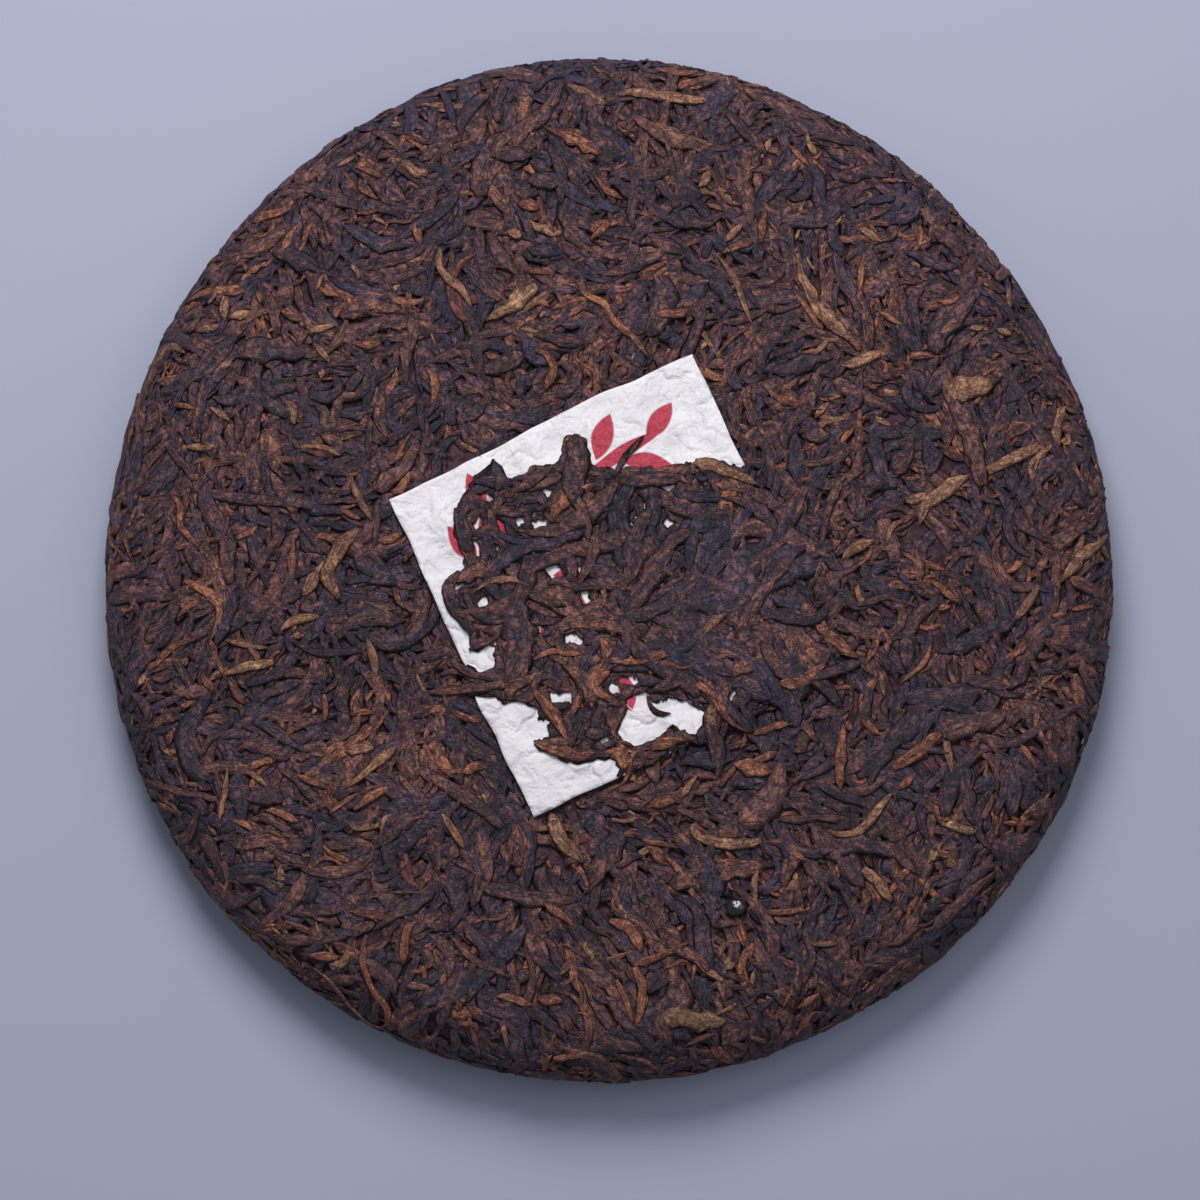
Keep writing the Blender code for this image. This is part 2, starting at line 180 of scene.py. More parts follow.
# A drawn leaf's size, bend and heading
LENGTH_SPREAD = (1.6, 2.4)
WIDTH_SPREAD = (1.8, 2.4)
LEAST_WIDTH_SIZE = 0.5
MOST_BREADTH = 0.42
BROAD_SHARE = 0.12
BROAD_WIDTH = (4.2, 7.0)
BROAD_LENGTH = 0.8
HOOKED_SHARE = 0.2
HOOKED_BEND = 1.9
HOOKED_WIDTH = 0.75
USUAL_BEND = 0.8
MOST_BEND = 2.6
SWAY = 0.3
FLOW_SHARE = 0.55
FLOW_SPREAD = 0.35
STRAY_SPREAD = 1.3
USUAL_LIFT = (-0.3, 0.25)

# The leaves of a side: many, then where it is still low, then the last ones
SCATTERED = 2400
FILLED = 4300
FILLED_AT_ONCE = 60
FILL_SIZES = (0.3, 0.45, 0.6, 0.9)
FILL_LIFT = (0.0, 0.3)
LOW_PLACE = 0.22
LAID_LAST = 1700
LAST_RISE = 0.28
LAST_SIZES = (0.55, 0.8, 1.0, 1.15)
SHOWN_RISE = 0.37
SHOWN_LIFT = 0.25
SHOWN_SWAY = 0.1
# A leaf that shows in fewer cells is left out, and one that shows is cut this many points past what shows
LEAST_CELLS = 12
LEAST_ON_PAPER = 2
ROW_MARGIN = 2

# The crust of leaves over the ticket
CRUST_LEAVES = 230
CRUST_SIZES = (1.4, 1.15, 0.9, 0.7)
CRUST_KINDS = {"black": 0.3, "dark": 0.3, "brown": 0.3, "rust": 0.1}
CRUST_RISE = 0.4
CRUST_LIFT = 0.3
MOST_OUTSIDE = 0.5
CLOSED_AT_ONCE = 10
CLOSING_LIFT = 0.03
HEM_WIDTH = (1.8, 3)
HEM_LENGTH = (1.6, 4)
HEM_OVERLAP = 0.15
HEM_ADVANCE = (0.5, 0.8)
HEM_SHARES = (0.6, 0.3, 0.1)
HEM_LIFT = (0.1, 0.3)
LEAVES_BY_GAP = 4
GAP_LEAF_WIDTH = (1.5, 2.6)
GAP_LEAF_LENGTH = (3.5, 7.5)
# Share of a gap's oval, by area, that is held open
GAP_CORE = 0.4

DEEP_KINDS = ("black", "dark", "brown")
KINDS = {
    "black": {"share": 0.22, "length": (8, 23), "width": (2.0, 4.6)},
    "dark": {"share": 0.28, "length": (8, 23), "width": (2.0, 4.4)},
    "brown": {"share": 0.28, "length": (8, 22), "width": (1.8, 4.0)},
    "rust": {"share": 0.14, "length": (5, 16), "width": (1.2, 2.8)},
    "tan": {"share": 0.06, "length": (4, 12), "width": (1.1, 2.4)},
    "ochre": {"share": 0.02, "length": (3, 8), "width": (1.1, 2.4)},
}

# Outline of the crust of leaves over the ticket, as it shows
CRUST_OUTLINE = (
    (27, 21), (24, 21), (19, 22.7), (17.7, 21.4), (12.5, 21), (10.4, 20.3), (7.8, 19.9), (4.4, 20.1),
    (0.5, 19.7), (-2.1, 20.3), (-3.6, 19.7), (-3.8, 24), (-4.5, 26.4), (-8.6, 26.3), (-9.4, 24),
    (-9.2, 20.8), (-10.5, 21.4), (-12, 20.1), (-15.8, 21), (-16.3, 19), (-20.5, 18.6), (-21, 21),
    (-22.7, 22), (-24.2, 21), (-24.8, 19.3), (-27.6, 18.8), (-28.7, 15.4), (-30, 13.7), (-31.1, 9.4),
    (-31.1, 5.9), (-29.1, 3.4), (-28.9, 0.4), (-32.6, -1.8), (-33.7, -3.9), (-32.6, -6.5), (-29.6, -9.9),
    (-27, -13.4), (-28.1, -16), (-26.6, -16.8), (-22.9, -14.7), (-22.3, -17.3), (-22.1, -19.6),
    (-25, -20.2), (-30, -17), (-33, -17), (-33, -24.7), (-26.3, -25.1), (-22.3, -24.5), (-21.4, -26.3),
    (-18, -25.8), (-16.3, -27.1), (-15, -28.6), (-12.8, -29.3), (-11.1, -31.8), (-13.7, -31.2),
    (-12, -32.7), (-15.8, -33.4), (-13.2, -35.4), (-9.4, -37.1), (-5.5, -38.1), (-2.5, -36.9),
    (2.2, -37.3), (0.9, -38.2), (1.8, -39.9), (4, -47), (25, -50), (58, -30), (58, 5), (36, 20),
)
PAPER_WINDOW = (
    (3.5, -25.8), (6.5, -25.2), (8.7, -26.5), (13, -25.4), (14.9, -26.7), (16.8, -27.1), (18.3, -30.1),
    (16.8, -32.9), (12.5, -30.4), (10, -32.7), (5.7, -34.7), (3.1, -33.6), (1.4, -31.6), (2.6, -29.3),
    (3.5, -28),
)
# Small gaps in the crust where paper shows: x, y, length, width and heading in degrees
PAPER_GAPS = (
    (-21.2, 16.9, 1.5, 0.8, 0), (-24.4, 14.5, 2.4, 1.3, -50), (-12, 15.1, 1.7, 1.2, 0),
    (-25.9, 9, 2, 0.8, 0), (-21.8, 9.2, 2.4, 0.9, -65), (-17.6, 9.7, 2, 1.3, 20),
    (-13.9, 9.1, 4.5, 0.7, 0), (-26.4, 4, 4.5, 0.8, -75), (12.1, 16.8, 3, 1.2, 10),
    (11.6, 9.2, 1.4, 1.2, 0), (-11.1, -0.5, 4, 2.3, -20), (-24.8, -6.5, 3, 1.5, 15),
    (-4.6, -5.7, 3, 1.2, 85), (-13.1, -11.9, 1.2, 0.7, 60), (-7.7, -13.4, 2, 0.9, 35),
    (-5.8, -14, 1.6, 0.8, -45), (-10, -25.2, 2, 1.7, 0), (-8.4, -24.9, 1.8, 1.8, 0),
    (2.9, -21.8, 1.6, 0.9, 0), (0.9, -23.5, 3, 1.6, 0), (4.9, -22, 1, 1, 0), (23.9, -24.7, 1.7, 0.8, 65),
    (-1, -33.2, 1.2, 0.8, 0), (-14.4, -27.2, 0.9, 0.9, 0),
)
POCKET = (45.7, 83.7, 8, 2.6, -12)

# Leaves that stand out: x, y, length, width, heading and, for a bent one, its bend in degrees, as they show
SHOWN_LEAVES = {
    "dark": (
        (-67, 45, 14, 5, 0), (-62, 63, 10, 4, -25, 10), (6, 78.5, 12, 3.5, 5), (-12.4, 77.2, 7, 4, 0),
        (-18.8, 82, 8, 3, 0), (-9.4, 45, 10, 2.5, -10), (68.5, 67, 8, 4, -35), (59, 23, 8, 5, 60),
        (-48, 26.6, 9, 2, 88), (-66.9, -44.4, 8, 3, -5), (44.4, 87.5, 9, 2.6, 0),
    ),
    "brown": (
        (-86, 22.7, 10.8, 1.8, -55), (-46.5, 9.5, 10, 1.6, 85), (43, -12.1, 6.7, 1.6, 50),
        (15.5, -47.8, 6, 1.6, -28), (-26.6, -58.2, 8.5, 1.2, -30), (29.3, -91.2, 5, 1.2, -30),
        (-38.6, -42.5, 7, 1.5, -48), (41.4, 27, 5, 3.5, 0), (84.4, -46.1, 6, 4, 20),
        (0.5, 58.3, 6, 1.3, 0),
    ),
    "rust": (
        (-47.2, 80.3, 6, 2.2, -25, -40), (-47.2, 75.5, 5, 1.3, -32), (-37.3, 66.9, 5, 2, -75, 15),
        (-69.7, 55.7, 3.2, 1.3, -70), (-48, 45.4, 6, 2, 0, 15), (-53.6, 52.3, 3, 2, 60),
        (-7.2, 85.4, 13.5, 3.4, -27), (-13.7, 58.8, 3.5, 1.5, -5), (12.5, 50.6, 6.5, 2, 10),
        (20.9, 72.1, 3.5, 1.6, -20), (25.4, 64.8, 7, 2.2, 25), (30.1, 69.1, 7, 2, 80, -20),
        (-1.6, 66.9, 5, 1.8, 42), (-15.4, 72.1, 5, 2.6, -10), (67.8, 54.7, 5, 1.5, 10, 50),
        (62.5, 43.7, 5, 2, 0), (55.6, 51.2, 7, 1.3, -32), (56.9, 79.4, 6, 1.3, 5, -30),
        (37.5, 83.2, 6, 1.3, -45), (-85.8, 33.9, 6, 1.3, -12), (-73.2, -24.3, 6, 2.3, -53),
        (-83.7, -7.4, 6, 1.3, 40), (-72.1, 7.7, 5, 1.6, 35), (-52, 11.5, 5.5, 1.3, -28),
        (-43.7, 6.4, 5.5, 2.5, 20), (-79, -22.4, 5, 1.8, -48), (-55.5, -27.1, 5.5, 1.3, -87),
        (-48, -28, 5, 1.3, 5, -20), (66.1, -7.3, 3, 1.3, 20), (88.7, -8.6, 3.5, 1.3, 10),
        (93.8, -6.9, 5.5, 1.3, 12), (51.7, -15.5, 7.5, 1.6, 65), (72.8, -18.9, 4, 2, -50),
        (44.8, -36.7, 13, 2.4, -93), (51, -31, 5, 1.8, -40), (-46, -44.3, 8, 1.8, 33),
        (-57.5, -41.4, 6.5, 1.5, -20, -15), (-70.8, -49.6, 4.5, 1.5, -20, -60),
        (-63.1, -47.9, 7, 1.8, -18, -20), (-46.3, -66.8, 7, 1.8, -12), (-54.5, -74.9, 6.5, 2.2, 0),
        (-38.6, -91.7, 4, 1.5, -25), (-27, -38.8, 7, 2.2, 10), (22.8, -40.3, 5.5, 1.5, 55),
        (28, -38.8, 8, 3.4, -12), (10.4, -45.3, 5, 2.5, 10), (3.1, -83.5, 9, 1.2, -68),
        (17.3, -90.8, 6.2, 1.4, 23), (34.5, -66.7, 8, 1.3, 4), (-7.2, -94, 7.5, 1.6, 8),
        (-11.1, -83.1, 5, 2.5, -5), (-18, -83.1, 7, 1.8, -15), (-9.4, -66.8, 7.5, 2, -38),
        (57.5, -41.9, 4, 1.8, 40), (38.4, -83.9, 5.5, 1.5, 35), (42.3, -88.2, 4, 2, 20),
        (76.6, -61.6, 4, 2, 50), (-13.7, 14.5, 6, 2.5, 10), (22.8, 7.7, 5, 2.5, -60),
        (17.7, 13.7, 8, 3.4, 40),
    ),
    "tan": (
        (-51.5, 82.6, 4.5, 1.3, 30, 15), (-49.7, 60, 3.5, 1.3, -60, -30), (-79, 56.6, 4.5, 1.4, 60),
        (-77, 53.6, 5.5, 2, -85, 10), (-73.6, 52.1, 4.5, 2.4, 20), (-80.2, 49.7, 5, 1.8, 8),
        (-56.6, 48.9, 5.5, 1.5, 12), (-56.8, 43.9, 5.2, 1.5, -50, -25), (-77.2, 41.6, 5, 1.6, 35),
        (10.5, 94.4, 17, 2.4, -3, -8), (-4.2, 94.8, 8.8, 2, -32), (-18.4, 66.5, 3.2, 2.2, -20),
        (18.5, 77.7, 4, 2, 60), (24.3, 67.4, 5, 2, 45), (42.3, 45.2, 5, 1.2, 48),
        (51.7, 67.8, 5.5, 2, -28), (67.6, 49.1, 3.5, 2, 35), (72, 37, 9, 5.4, 20),
        (-77.7, 31.9, 5, 1.3, -35), (-96.6, 5.5, 5.5, 1.2, -65), (-58.8, -1.5, 8, 2.5, 60),
        (-46.3, -17.3, 8, 2, -75), (-71.8, -14.9, 9, 1.1, -10), (42.3, 32.6, 4.5, 1.5, 50),
        (53.4, -22.8, 5, 1.3, -80), (-48.5, -35.2, 6, 2.2, 5), (-51.3, -45.3, 7, 1.2, 36),
        (-68.2, -41, 5, 1.6, -35), (15.3, -42.3, 5.5, 1.4, 55), (22.2, -85.6, 5.5, 1.1, 28),
        (73.8, -46.4, 5.3, 1.3, 68), (41.2, -72.9, 6.5, 1.6, 0), (-12.4, -100, 5, 1.4, -15),
        (-18, -7.3, 8, 2.5, 5, -20),
    ),
    "ochre": (
        (-18.4, 52.7, 11.5, 3, 34), (-82, 25.5, 6, 2.4, 0), (73.4, 49.5, 3.2, 1.4, 10),
        (79.2, 49.1, 3.5, 1.8, -10), (16.6, -87.6, 12, 4.3, -6), (68, -50.4, 6.8, 2, -12),
        (-70.8, -19, 10, 2.2, 12), (24.1, 20.1, 10, 3, -20), (23.3, -76.9, 2.5, 1.4, 40),
    ),
}

# Longer leaves that stand out: the width, then the places that the leaf runs through, as they show
SHOWN_PATHS = {
    "dark": (
        (2.6, (-83.7, 16.3), (-72, 14.6), (-62.2, 13.7)), (2, (-63, -13.8), (-57.9, -16.8), (-48.5, -16)),
        (3, (-94.8, -23.7), (-91, -27), (-92.3, -33.6)),
        (3.5, (39.3, -54.7), (47.9, -53.4), (54.3, -54.7), (60.3, -59.5)),
    ),
    "brown": (
        (1.8, (-64.4, 9.8), (-68, 4), (-72.1, -3.5)),
        (2, (41.8, 5.1), (43.1, 11.1), (44.9, 16.3), (47, 19.3)),
        (2.8, (-36.5, -39), (-28.3, -43.6), (-20.5, -50)),
        (2, (-0.4, -54.7), (-1.2, -58.2), (-3.8, -62.5)), (1.8, (-49.7, -87), (-45, -90.4), (-36.9, -93)),
        (1.6, (-30.4, -70.6), (-26.6, -75.4), (-18.8, -78.8)),
        (1.5, (60.7, -64.2), (62, -60.7), (64.6, -59.7)), (2, (37.6, -6.5), (39.3, -2.6), (41.8, 0.4)),
    ),
    "rust": (
        (1.5, (-5.5, 56.6), (-5, 54), (-0.8, 52.8), (0.9, 48.5), (4.8, 45.9), (7.4, 42)),
        (1.8, (-14.5, 43), (-12, 42.8), (-10.2, 39), (-12.4, 35.6)),
        (1.5, (-3.4, 79), (-1.2, 75.5), (2.6, 73.4)), (1.4, (36.3, 56.2), (39.3, 52.3), (41.8, 48.9)),
        (2.1, (-84.5, -1.8), (-81.1, -3.5), (-77.2, -6.5), (-77.2, -10.4), (-79, -13.8)),
        (1.4, (-79, -13.8), (-77.2, -18.5), (-75.1, -22)),
        (1.5, (-88, 16), (-85.4, 13.5), (-86.2, 9), (-82, 5)),
        (1.6, (-90.1, -19.4), (-86.7, -15.1), (-81.5, -13.4)),
        (1.8, (63.8, -2.2), (66.8, -4.3), (68.7, -6.1)),
        (1.6, (81.8, -13.8), (80.9, -15.9), (78.8, -17.7)),
        (1.3, (56.9, -22.4), (60.7, -19.4), (62.9, -16.8), (63.1, -14.6)),
        (2.8, (55.2, -39.1), (60.7, -35.2), (64.6, -31.9)),
        (1.9, (-46.7, -70.6), (-47.6, -75.8), (-45, -82.2), (-42.4, -84.8), (-42.9, -87.8), (-45, -88.2)),
        (1.8, (-36.9, -68), (-39, -69.3), (-39.4, -76.2)),
        (1.5, (10.8, -55.8), (13.3, -58), (14.7, -61.2)), (2.6, (0.1, -68), (4.4, -69.3), (6.1, -74.1)),
        (1.8, (4.8, -76.6), (10, -74.8), (15.5, -72.3)),
        (2, (4.8, -77.1), (6.5, -80.5), (6.1, -86.5), (4.8, -88.2)),
    ),
    "tan": (
        (1.8, (-33, 64), (-33.4, 60), (-31.5, 57.5), (-28.5, 56), (-26.8, 52)),
        (1.4, (21.1, 62.6), (25, 57.5), (26.3, 53.2), (28, 49.3)),
        (3, (37.1, 63.5), (37.6, 59.6), (39.7, 55.8), (43.1, 50.6), (47, 47.6), (50, 45.9)),
        (3.5, (-50.2, 8.5), (-53.6, 4.7), (-56.2, -0.5), (-53.6, -5.7)),
        (1.6, (-51.5, 18), (-49.3, 12.8), (-47.2, 9.8)), (1.9, (-65, -12), (-63.5, -9.9), (-57.5, -9.1)),
        (3.8, (61.6, 9.4), (62.9, 13.7), (65.9, 15.8), (71.5, 19.3)),
        (2.6, (75.4, 20.2), (80.1, 22.8), (85.7, 25.8)), (2.8, (89.1, -2.2), (93.8, 3), (99.4, 8.5)),
        (1.8, (80.1, -9.5), (82.7, -6.1), (84.8, -2.6)), (2.4, (46.1, 2.1), (48.7, 4.7), (52.2, 6)),
        (1.3, (55.2, 5.5), (55.6, 9), (58.2, 10.2)), (2, (-41.6, -35), (-46, -38.6), (-50.2, -42.3)),
        (1.6, (-74.4, -38.8), (-74.8, -44), (-75.7, -49.2)),
        (1.4, (-57.5, -76.6), (-53.6, -79.2), (-49.7, -84.4), (-46.3, -87), (-42.9, -88.2)),
        (1.6, (-32.1, -47.4), (-30.5, -50), (-27.9, -53.9)),
        (3.6, (-11.1, -47.4), (-9.8, -52.2), (-7.2, -54.7), (-5.1, -56.9)),
        (2.4, (16.2, -49.6), (16.8, -52.6), (20.7, -53.4), (25, -53.9), (29.3, -52.8)),
        (1.9, (42.3, -51.1), (45.3, -52.2), (48.3, -51.7), (51.3, -47.9), (54.7, -44)),
        (2.2, (49.1, -58.4), (51.7, -60.7), (54.7, -64.6)),
    ),
}

# Leaves that stand out on the crust: the kind, the width, then the places that the leaf runs through
CRUST_PATHS = (
    ("dark", 5.2, (-6.6, 13), (-6.9, 20), (-6.3, 26.4)),
    ("dark", 1.5, (0.8, 17.5), (2.6, 21.5), (6.7, 26.3)),
    ("dark", 3.2, (-21.5, 16), (-22.3, 19), (-22.8, 21.8)),
    ("brown", 3, (-18, 15.5), (-14.5, 18), (-11, 20.2)),
    ("dark", 3, (-30.2, 12.5), (-29.5, 9), (-29.3, 6.5), (-27.8, 3.5)),
    ("dark", 2.6, (-27, 17.5), (-25.5, 18), (-19, 17)),
    ("dark", 3, (-29.8, -0.4), (-32.2, -3.2), (-31, -7.2), (-26.5, -12.6)),
    ("dark", 2, (-27.3, -15.9), (-25.2, -14.8), (-21.5, -13.4)),
    ("dark", 1.8, (-30.9, -17.8), (-26.6, -20.9), (-21, -21.6), (-17.1, -20.6)),
    ("brown", 2, (-35, -24), (-27.4, -23.6), (-21, -22.6), (-16.7, -20.9)),
    ("brown", 2.8, (-21, -23.4), (-18, -22.6), (-15.2, -21)),
    ("rust", 2.4, (-14.5, -23.7), (-11, -28.2), (-7.7, -33.6)),
    ("rust", 2.8, (-14.4, -33.8), (-11, -35), (-5.5, -36.7), (-2.5, -35.8)),
    ("dark", 3, (-4.5, -32), (-2.5, -32.5), (0, -31.8)),
    ("rust", 1.6, (-14.5, -17.7), (-11.1, -15.7), (-8, -16.6), (-5.5, -16.6)),
    ("tan", 2.8, (16.8, 21.4), (21, 20.5), (25.5, 18.9), (29.3, 17.2)),
    ("brown", 2.2, (22.4, -3.1), (26, -0.5), (29.3, 2.1), (35, 5.5)),
    ("tan", 2, (17.3, -13.8), (20.3, -10.4), (23.7, -7.4)), ("tan", 1.1, (-1.2, -2.6), (-0.8, -9)),
    ("rust", 1.3, (1, -4), (3.2, -3.2), (5.6, -4.4), (6.4, -7), (4.6, -8.8)),
    ("tan", 1.5, (-27.2, -5), (-24, -2.6), (-19.5, -1.8), (-15.2, -3.4)),
    ("dark", 2.2, (-28.3, -4.5), (-27, -8.6), (-22, -10.6), (-16, -10)),
    ("rust", 2.2, (-0.8, -18.1), (7.8, -17.7), (14.2, -15.5)),
    ("rust", 1.6, (7.8, -20.6), (10.4, -18.5), (13.4, -18.9), (14.2, -19.8), (16.8, -18.3)),
    ("dark", 2.6, (8.2, -24), (11.8, -22.8), (15.6, -21.2)),
    ("rust", 1.8, (14.6, -21.4), (19.8, -24.1), (23.2, -30.1), (26.7, -31.9)),
    ("rust", 1.6, (28, -32.3), (35, -30.1)),
    ("brown", 1.2, (7.2, -24.6), (7.8, -27.1), (9.5, -28.6), (11.9, -28.3)),
    ("rust", 2.6, (8, -35.2), (11.4, -33.6), (15, -33.4)), ("brown", 2.4, (-9, 16), (-5, 12), (-4, 6)),
    ("dark", 3, (2, 17), (8, 17.6), (14, 18.2)), ("brown", 2.6, (-2.4, 8), (-3.4, 2), (-5.8, -3)),
    ("dark", 3, (39.4, -22), (44.3, -19.8), (49.2, -18.2)),
    ("dark", 2.7, (22, 14.4), (25.4, 13.8), (28.6, 12.6), (31.3, 10.3), (33.2, 7.4)),
)

# The small glossy black bud among the leaves
BUD_PLACE = (24.6, -65.9)
BUD_SIZE = (2.1, 1.7, 1.3)
BUD_LIFT = 0.2

# Camera and studio, with the cake's place and width in the 1200 pixels of the photograph
CAMERA_ELEVATION = math.radians(80)
CAMERA_DISTANCE = 1.2
SENSOR = 36.0
PHOTO_PIXELS = 1200
CAKE_WIDTH_PIXELS = 1012
CAKE_CENTRE_PIXELS = (609, 570)
SILHOUETTE_SHIFT = (0.35, -0.98)
AIM_HEIGHT = 10.0

# Colours from 0 to 255: the deep, body and light tone of each kind of leaf, then of the other things
LEAF_COLOURS = {
    # The blue-purple cast of the black and dark kinds is partly their own colour and partly painted sheen,
    # the bluish reflection that dark leaves show.
    "black": ((27, 17, 36), (43, 35, 60), (92, 62, 70)),
    "dark": ((34, 19, 34), (54, 38, 54), (110, 68, 61)),
    "brown": ((48, 27, 37), (82, 52, 55), (134, 86, 69)),
    "rust": ((78, 39, 38), (130, 78, 60), (168, 107, 76)),
    "tan": ((92, 57, 48), (140, 97, 74), (172, 126, 96)),
    "ochre": ((98, 68, 50), (152, 112, 80), (184, 143, 106)),
}
CORE_COLOURS = ((40, 20, 30), (78, 48, 56))
# Paper dull, white, cloudy and specked, then the deep and light red of the print
PAPER_COLOURS = (
    (206, 203, 206), (224, 221, 223), (190, 186, 192), (120, 86, 74), (140, 40, 58), (186, 74, 90),
)
BUD_COLOURS = ((10, 9, 13), (26, 22, 28))
FLOOR_COLOURS = ((147, 152, 170), (151, 156, 174))
FLOOR_HALF = 3000.0

# Light: place in metres, size, power and colour of each lamp
AIR_COLOUR = (0.86, 0.9, 1.0, 1)
AIR_STRENGTH = 0.36
LAMPS = {
    "key": ((-0.06, 0.4, 0.54), 0.38, 4.8, (1, 0.975, 0.985)),
    "fill": ((0.8, 0.2, 1.6), 1.2, 4.6, (0.95, 0.96, 1)),
}


def turned_profile():
    """The disc's outline from the middle of the front to the middle of the back, in even steps.

    It gives the distance along, the radius, the height and both parts of the outward normal.
    """
    quarter = np.linspace(0, math.pi / 2, 60)
    dome = np.linspace(0, SHOULDER_RADIUS, 200)
    foot = np.linspace(FOOT_OUTER_RADIUS, FOOT_INNER_RADIUS, 40)
    back = np.linspace(FOOT_INNER_RADIUS - FOOT_SLOPE, DIMPLE_RADIUS, 60)
    dimple = np.linspace(0, 1, 80)
    radius = np.concatenate([
        dome,
        SHOULDER_RADIUS + (CAKE_RADIUS - SHOULDER_RADIUS) * np.sin(quarter[1:]),
        FOOT_OUTER_RADIUS + (CAKE_RADIUS - FOOT_OUTER_RADIUS) * np.cos(quarter[1:-1]),
        foot,
        back,
        DIMPLE_RADIUS * (1 - dimple[1:]),
    ])
    height = np.concatenate([
        FRONT_HEIGHT - (FRONT_HEIGHT - SHOULDER_HEIGHT) * (dome / SHOULDER_RADIUS) ** 2,
        RIM_HEIGHT + (SHOULDER_HEIGHT - RIM_HEIGHT) * np.cos(quarter[1:]),
        RIM_HEIGHT * (1 - np.sin(quarter[1:-1])),
        0 * foot,
        0 * back + BACK_RAISE,
        BACK_RAISE + (DIMPLE_DEPTH - BACK_RAISE) * (1 - np.cos(math.pi * dimple[1:])) / 2,
    ])
    along = np.concatenate([[0], np.cumsum(np.hypot(np.diff(radius), np.diff(height)))])
    even = np.linspace(0, along[-1], PROFILE_STEPS)
    radius, height = np.interp(even, along, radius), np.interp(even, along, height)
    out, up = -np.gradient(height, even), np.gradient(radius, even)
    out, up = smooth(out, PROFILE_ROUNDING), smooth(up, PROFILE_ROUNDING)
    size = np.hypot(out, up)
    return even, radius, height, out / size, up / size


def smooth(values, window):
    """A running mean that keeps both ends."""
    window = min(window, len(values)) | 1
    padded = np.pad(values, window // 2, mode="edge")
    return np.convolve(padded, np.ones(window) / window, mode="valid")[: len(values)]


ALONG, RADIUS, HEIGHT, OUT, UP = turned_profile()
WHOLE = ALONG[-1]
EQUATOR = ALONG[np.argmax(RADIUS)]
TICKET_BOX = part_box("ticket")
SHIFT = [(TICKET_BOX[0][i] + TICKET_BOX[1][i]) / 2 / MM - TICKET_CENTRE[i] for i in range(2)]


def on_cake(x, y, lift, front):
    """Places at this lift off the disc, in millimetres, from places on one side's flat layout."""
    angle = np.arctan2(y, x)
    along = np.hypot(x, y)
    along = along if front else WHOLE - along
    waves = sum(height * np.cos(count * (angle - peak)) for count, height, peak in OUTLINE_WAVES)
    radius = np.interp(along, ALONG, RADIUS) + lift * np.interp(along, ALONG, OUT)
    radius = radius * (1 + waves / CAKE_RADIUS)
    height = np.interp(along, ALONG, HEIGHT) + lift * np.interp(along, ALONG, UP)
    height = np.maximum(height, FLOOR_GAP)
    return np.stack([radius * np.cos(angle) + SHIFT[0], radius * np.sin(angle) + SHIFT[1], height], -1)


def laid_out(points):
    """Places read off the front as it shows, as places on its flat layout."""
    points = (np.array(points, float) - SEEN_SHIFT) / SEEN_SCALE
    radius = np.hypot(points[:, 0], points[:, 1])
    inner = ALONG < EQUATOR - 2
    stretch = np.interp(radius, RADIUS[inner], ALONG[inner]) / np.maximum(radius, 1e-6)
    return points * stretch[:, None]


def inside(outline, x, y):
    """Which places lie inside an outline on the flat layout."""
    crossings = np.zeros(x.shape, bool)
    for (x0, y0), (x1, y1) in zip(outline, np.roll(outline, -1, axis=0)):
        with np.errstate(divide="ignore", invalid="ignore"):
            crossings ^= ((y0 > y) != (y1 > y)) & (x < x0 + (x1 - x0) * (y - y0) / (y1 - y0))
    return crossings


def in_own_axes(x, y, centre, heading):
    """Places as distances along and across a heading, from a centre."""
    dx, dy = x - centre[0], y - centre[1]
    return dx * math.cos(heading) + dy * math.sin(heading), dy * math.cos(heading) - dx * math.sin(heading)


def in_ticket(x, y, margin=0.0):
    across, upward = in_own_axes(x, y, TICKET_CENTRE, TICKET_TURN)
    return (abs(across) < TICKET_WIDTH / 2 + margin) & (abs(upward) < TICKET_HEIGHT / 2 + margin)


def in_gap(gap, x, y):
    """Which places lie in a small oval gap that is given as it shows."""
    along, across = in_own_axes(x, y, laid_out([gap[:2]])[0], math.radians(gap[4]))
    return (2 * along / gap[2]) ** 2 + (2 * across / gap[3]) ** 2 < GAP_CORE


def blurred(values, passes, window):
    """A grid made smooth along both of its directions."""
    for _ in range(passes):
        for axis in (0, 1):
            ends = [(window if i == axis else 0, 0) for i in (0, 1)]
            total = np.cumsum(np.pad(values, ends, mode="edge"), axis)
            ahead = np.take(total, range(window, total.shape[axis]), axis)
            behind = np.take(total, range(total.shape[axis] - window), axis)
            values = np.roll((ahead - behind) / window, -(window // 2), axis)
    return values


